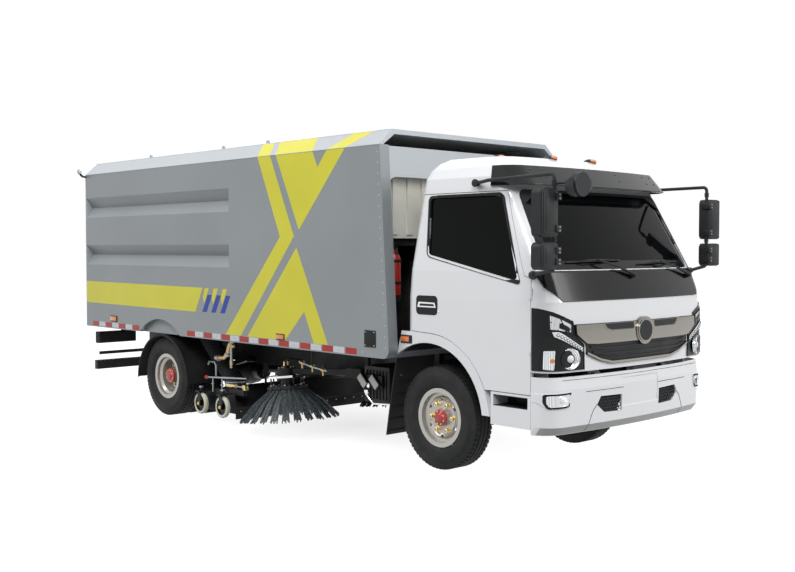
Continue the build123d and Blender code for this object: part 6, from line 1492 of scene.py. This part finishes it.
# two square filter covers turned on edge, their bracket, a chromed union and the wash pipe
plain_zinc = sprayed_paint("plain_zinc", "#b9b5ae", 0.45, spread=0.05, metallic=0.3)
mesh = bmesh.new()
for side in (-1, 1):
    y = side * 0.828
    for centre_x in (-0.958, -0.812):
        cover = Matrix.Translation((centre_x, y, 0.600)) @ Matrix.Rotation(math.radians(45), 4, "Y")
        for half, back, front, index in ((0.068, 0.000, 0.030, 0), (0.058, 0.026, 0.034, 1)):
            block = bmesh.new()
            bmesh.ops.create_cube(block, size=1, matrix=Matrix.Diagonal((2 * half, front - back,
                                                                       1.1 * half, 1)))
            bmesh.ops.bevel(block, geom=block.edges[:], offset=0.004, segments=2, profile=0.5,
                            affect="EDGES", material=-1)
            shift = Matrix.Translation((0, side * (front + back) / 2, 0))
            bmesh.ops.transform(block, matrix=cover @ shift, verts=block.verts)
            merge(mesh, block, index)
    box(mesh, (-1.020, y, 0.548), (-0.740, side * 0.812, 0.652), 0, 0.004)
    turned(mesh, [(0.0, 0.0), (0.0, 0.020), (0.030, 0.020), (0.034, 0.013), (0.034, 0.0)],
           (-0.890, side * 0.822, 0.566), (0, side, 0), 24, 2)
    turned(mesh, [(0.0, 0.0), (0.0, 0.024), (0.020, 0.024), (0.030, 0.016), (0.044, 0.014),
                  (0.044, 0.0)], (-0.892, side * 0.860, 0.530), (0, 0, -1), 24, 2)
    course(mesh, [(-0.892, side * 0.860, 0.495), (-0.880, side * 0.862, 0.478),
                  (-0.815, side * 0.866, 0.432), (-0.785, side * 0.868, 0.424),
                  (-0.560, side * 0.868, 0.440)], 0.009, 12, 2)
    # ribbed lid on the box below it
    for k in range(6):
        x = -0.975 + 0.052 * k
        box(mesh, (x, side * 0.640, 0.716), (x + 0.030, side * 0.800, 0.726), 0, 0.002)
piece("side_plates", mesh, "chassis", "frame_black", chassis_enamel, plain_zinc, chrome)

# ------------------------------------------------------------------ seats
# Moulded foam seats in a woven cover, sewn with two channels down the middle panel. Each pad is
# crowned, its sides pull in towards the corners, and it slips over the seat's hard core.
woven_cover, tree = new_material("woven_cover")
# threads really stand 1.5 mm apart, and are drawn at 4 mm so that they show
warp, weft = [texture(tree, "TexWave", {"bands_direction": way}, Scale=80.0, Distortion=0.6)
              for way in ("X", "Y")]
cloth = add_node(tree, "Math", {"operation": "MULTIPLY"}, _0=warp, _1=weft)
tone = ramp(tree, (cloth, "Value"), [(0.1, "#2a2c30"), (0.8, "#4b4e54")])
bump = add_node(tree, "Bump", None, Height=(cloth, "Value"), Strength=0.4, Distance=0.001)
shader = add_node(tree, "BsdfPrincipled", None, Base_Color=tone, Roughness=0.85,
                  Specular_IOR_Level=0.2, Sheen_Weight=0.25, Normal=(bump, "Normal"))
close_material(woven_cover, tree, (shader, "BSDF"))
EDGE_ROUND = 0.034
SEAM_AT = 0.42  # a channel's place from the middle, as a share of the half width
SEAM_WIDE = 0.06
SEAM_DEEP = 0.007
SEAT_Y = 0.62


def pad(half, crown, crown_axis, channel_axis):
    """A crowned foam pad round the origin, with two sewn channels on its crowned side."""
    made = bmesh.new()
    bmesh.ops.create_cube(made, size=2.0)
    bmesh.ops.subdivide_edges(made, edges=made.edges[:], cuts=21, use_grid_fill=True)
    across = ({0, 1, 2} - {crown_axis, channel_axis}).pop()
    for vert in made.verts:
        share = vert.co.copy()
        spot = Vector(share[i] * half[i] for i in range(3))
        core = Vector(max(EDGE_ROUND - h, min(h - EDGE_ROUND, s)) for h, s in zip(half, spot))
        out = spot - core
        vert.co = core + out.normalized() * EDGE_ROUND if out.length > 1e-6 else spot
        u, v = share[across], share[channel_axis]
        full = max(0.0, 1 - u * u) * max(0.0, 1 - v ** 4)
        if share[crown_axis] > 0:
            seam = math.exp(-((abs(u) - SEAM_AT) / SEAM_WIDE) ** 2) * max(0.0, 1 - v ** 8)
            vert.co[crown_axis] += crown * full - SEAM_DEEP * seam
        # the cover draws the sides in between the corners
        if abs(share[across]) > 0.98:
            vert.co[across] -= math.copysign(0.004 * (1 - v * v), u)
    bmesh.ops.smooth_vert(made, verts=made.verts[:], factor=0.5, use_axis_x=True, use_axis_y=True,
                          use_axis_z=True)
    return made


for letter, side in SIDES:
    cushion = pad((0.276, 0.247, 0.080), 0.018, 2, 0)
    back = pad((0.078, 0.238, 0.325), 0.020, 0, 2)
    for name, mesh, x, z, lean in (("seat_cushion_", cushion, 0.342, 1.268, 0.0),
                                   ("seat_back_", back, 0.080, 1.602, -6.6)):
        place = (Matrix.Translation((x, side * SEAT_Y, z))
                 @ Matrix.Rotation(math.radians(lean), 4, "Y"))
        bmesh.ops.transform(mesh, matrix=place, verts=mesh.verts)
        made = piece(name + letter, mesh, "cab", "interior", woven_cover, angle=80)
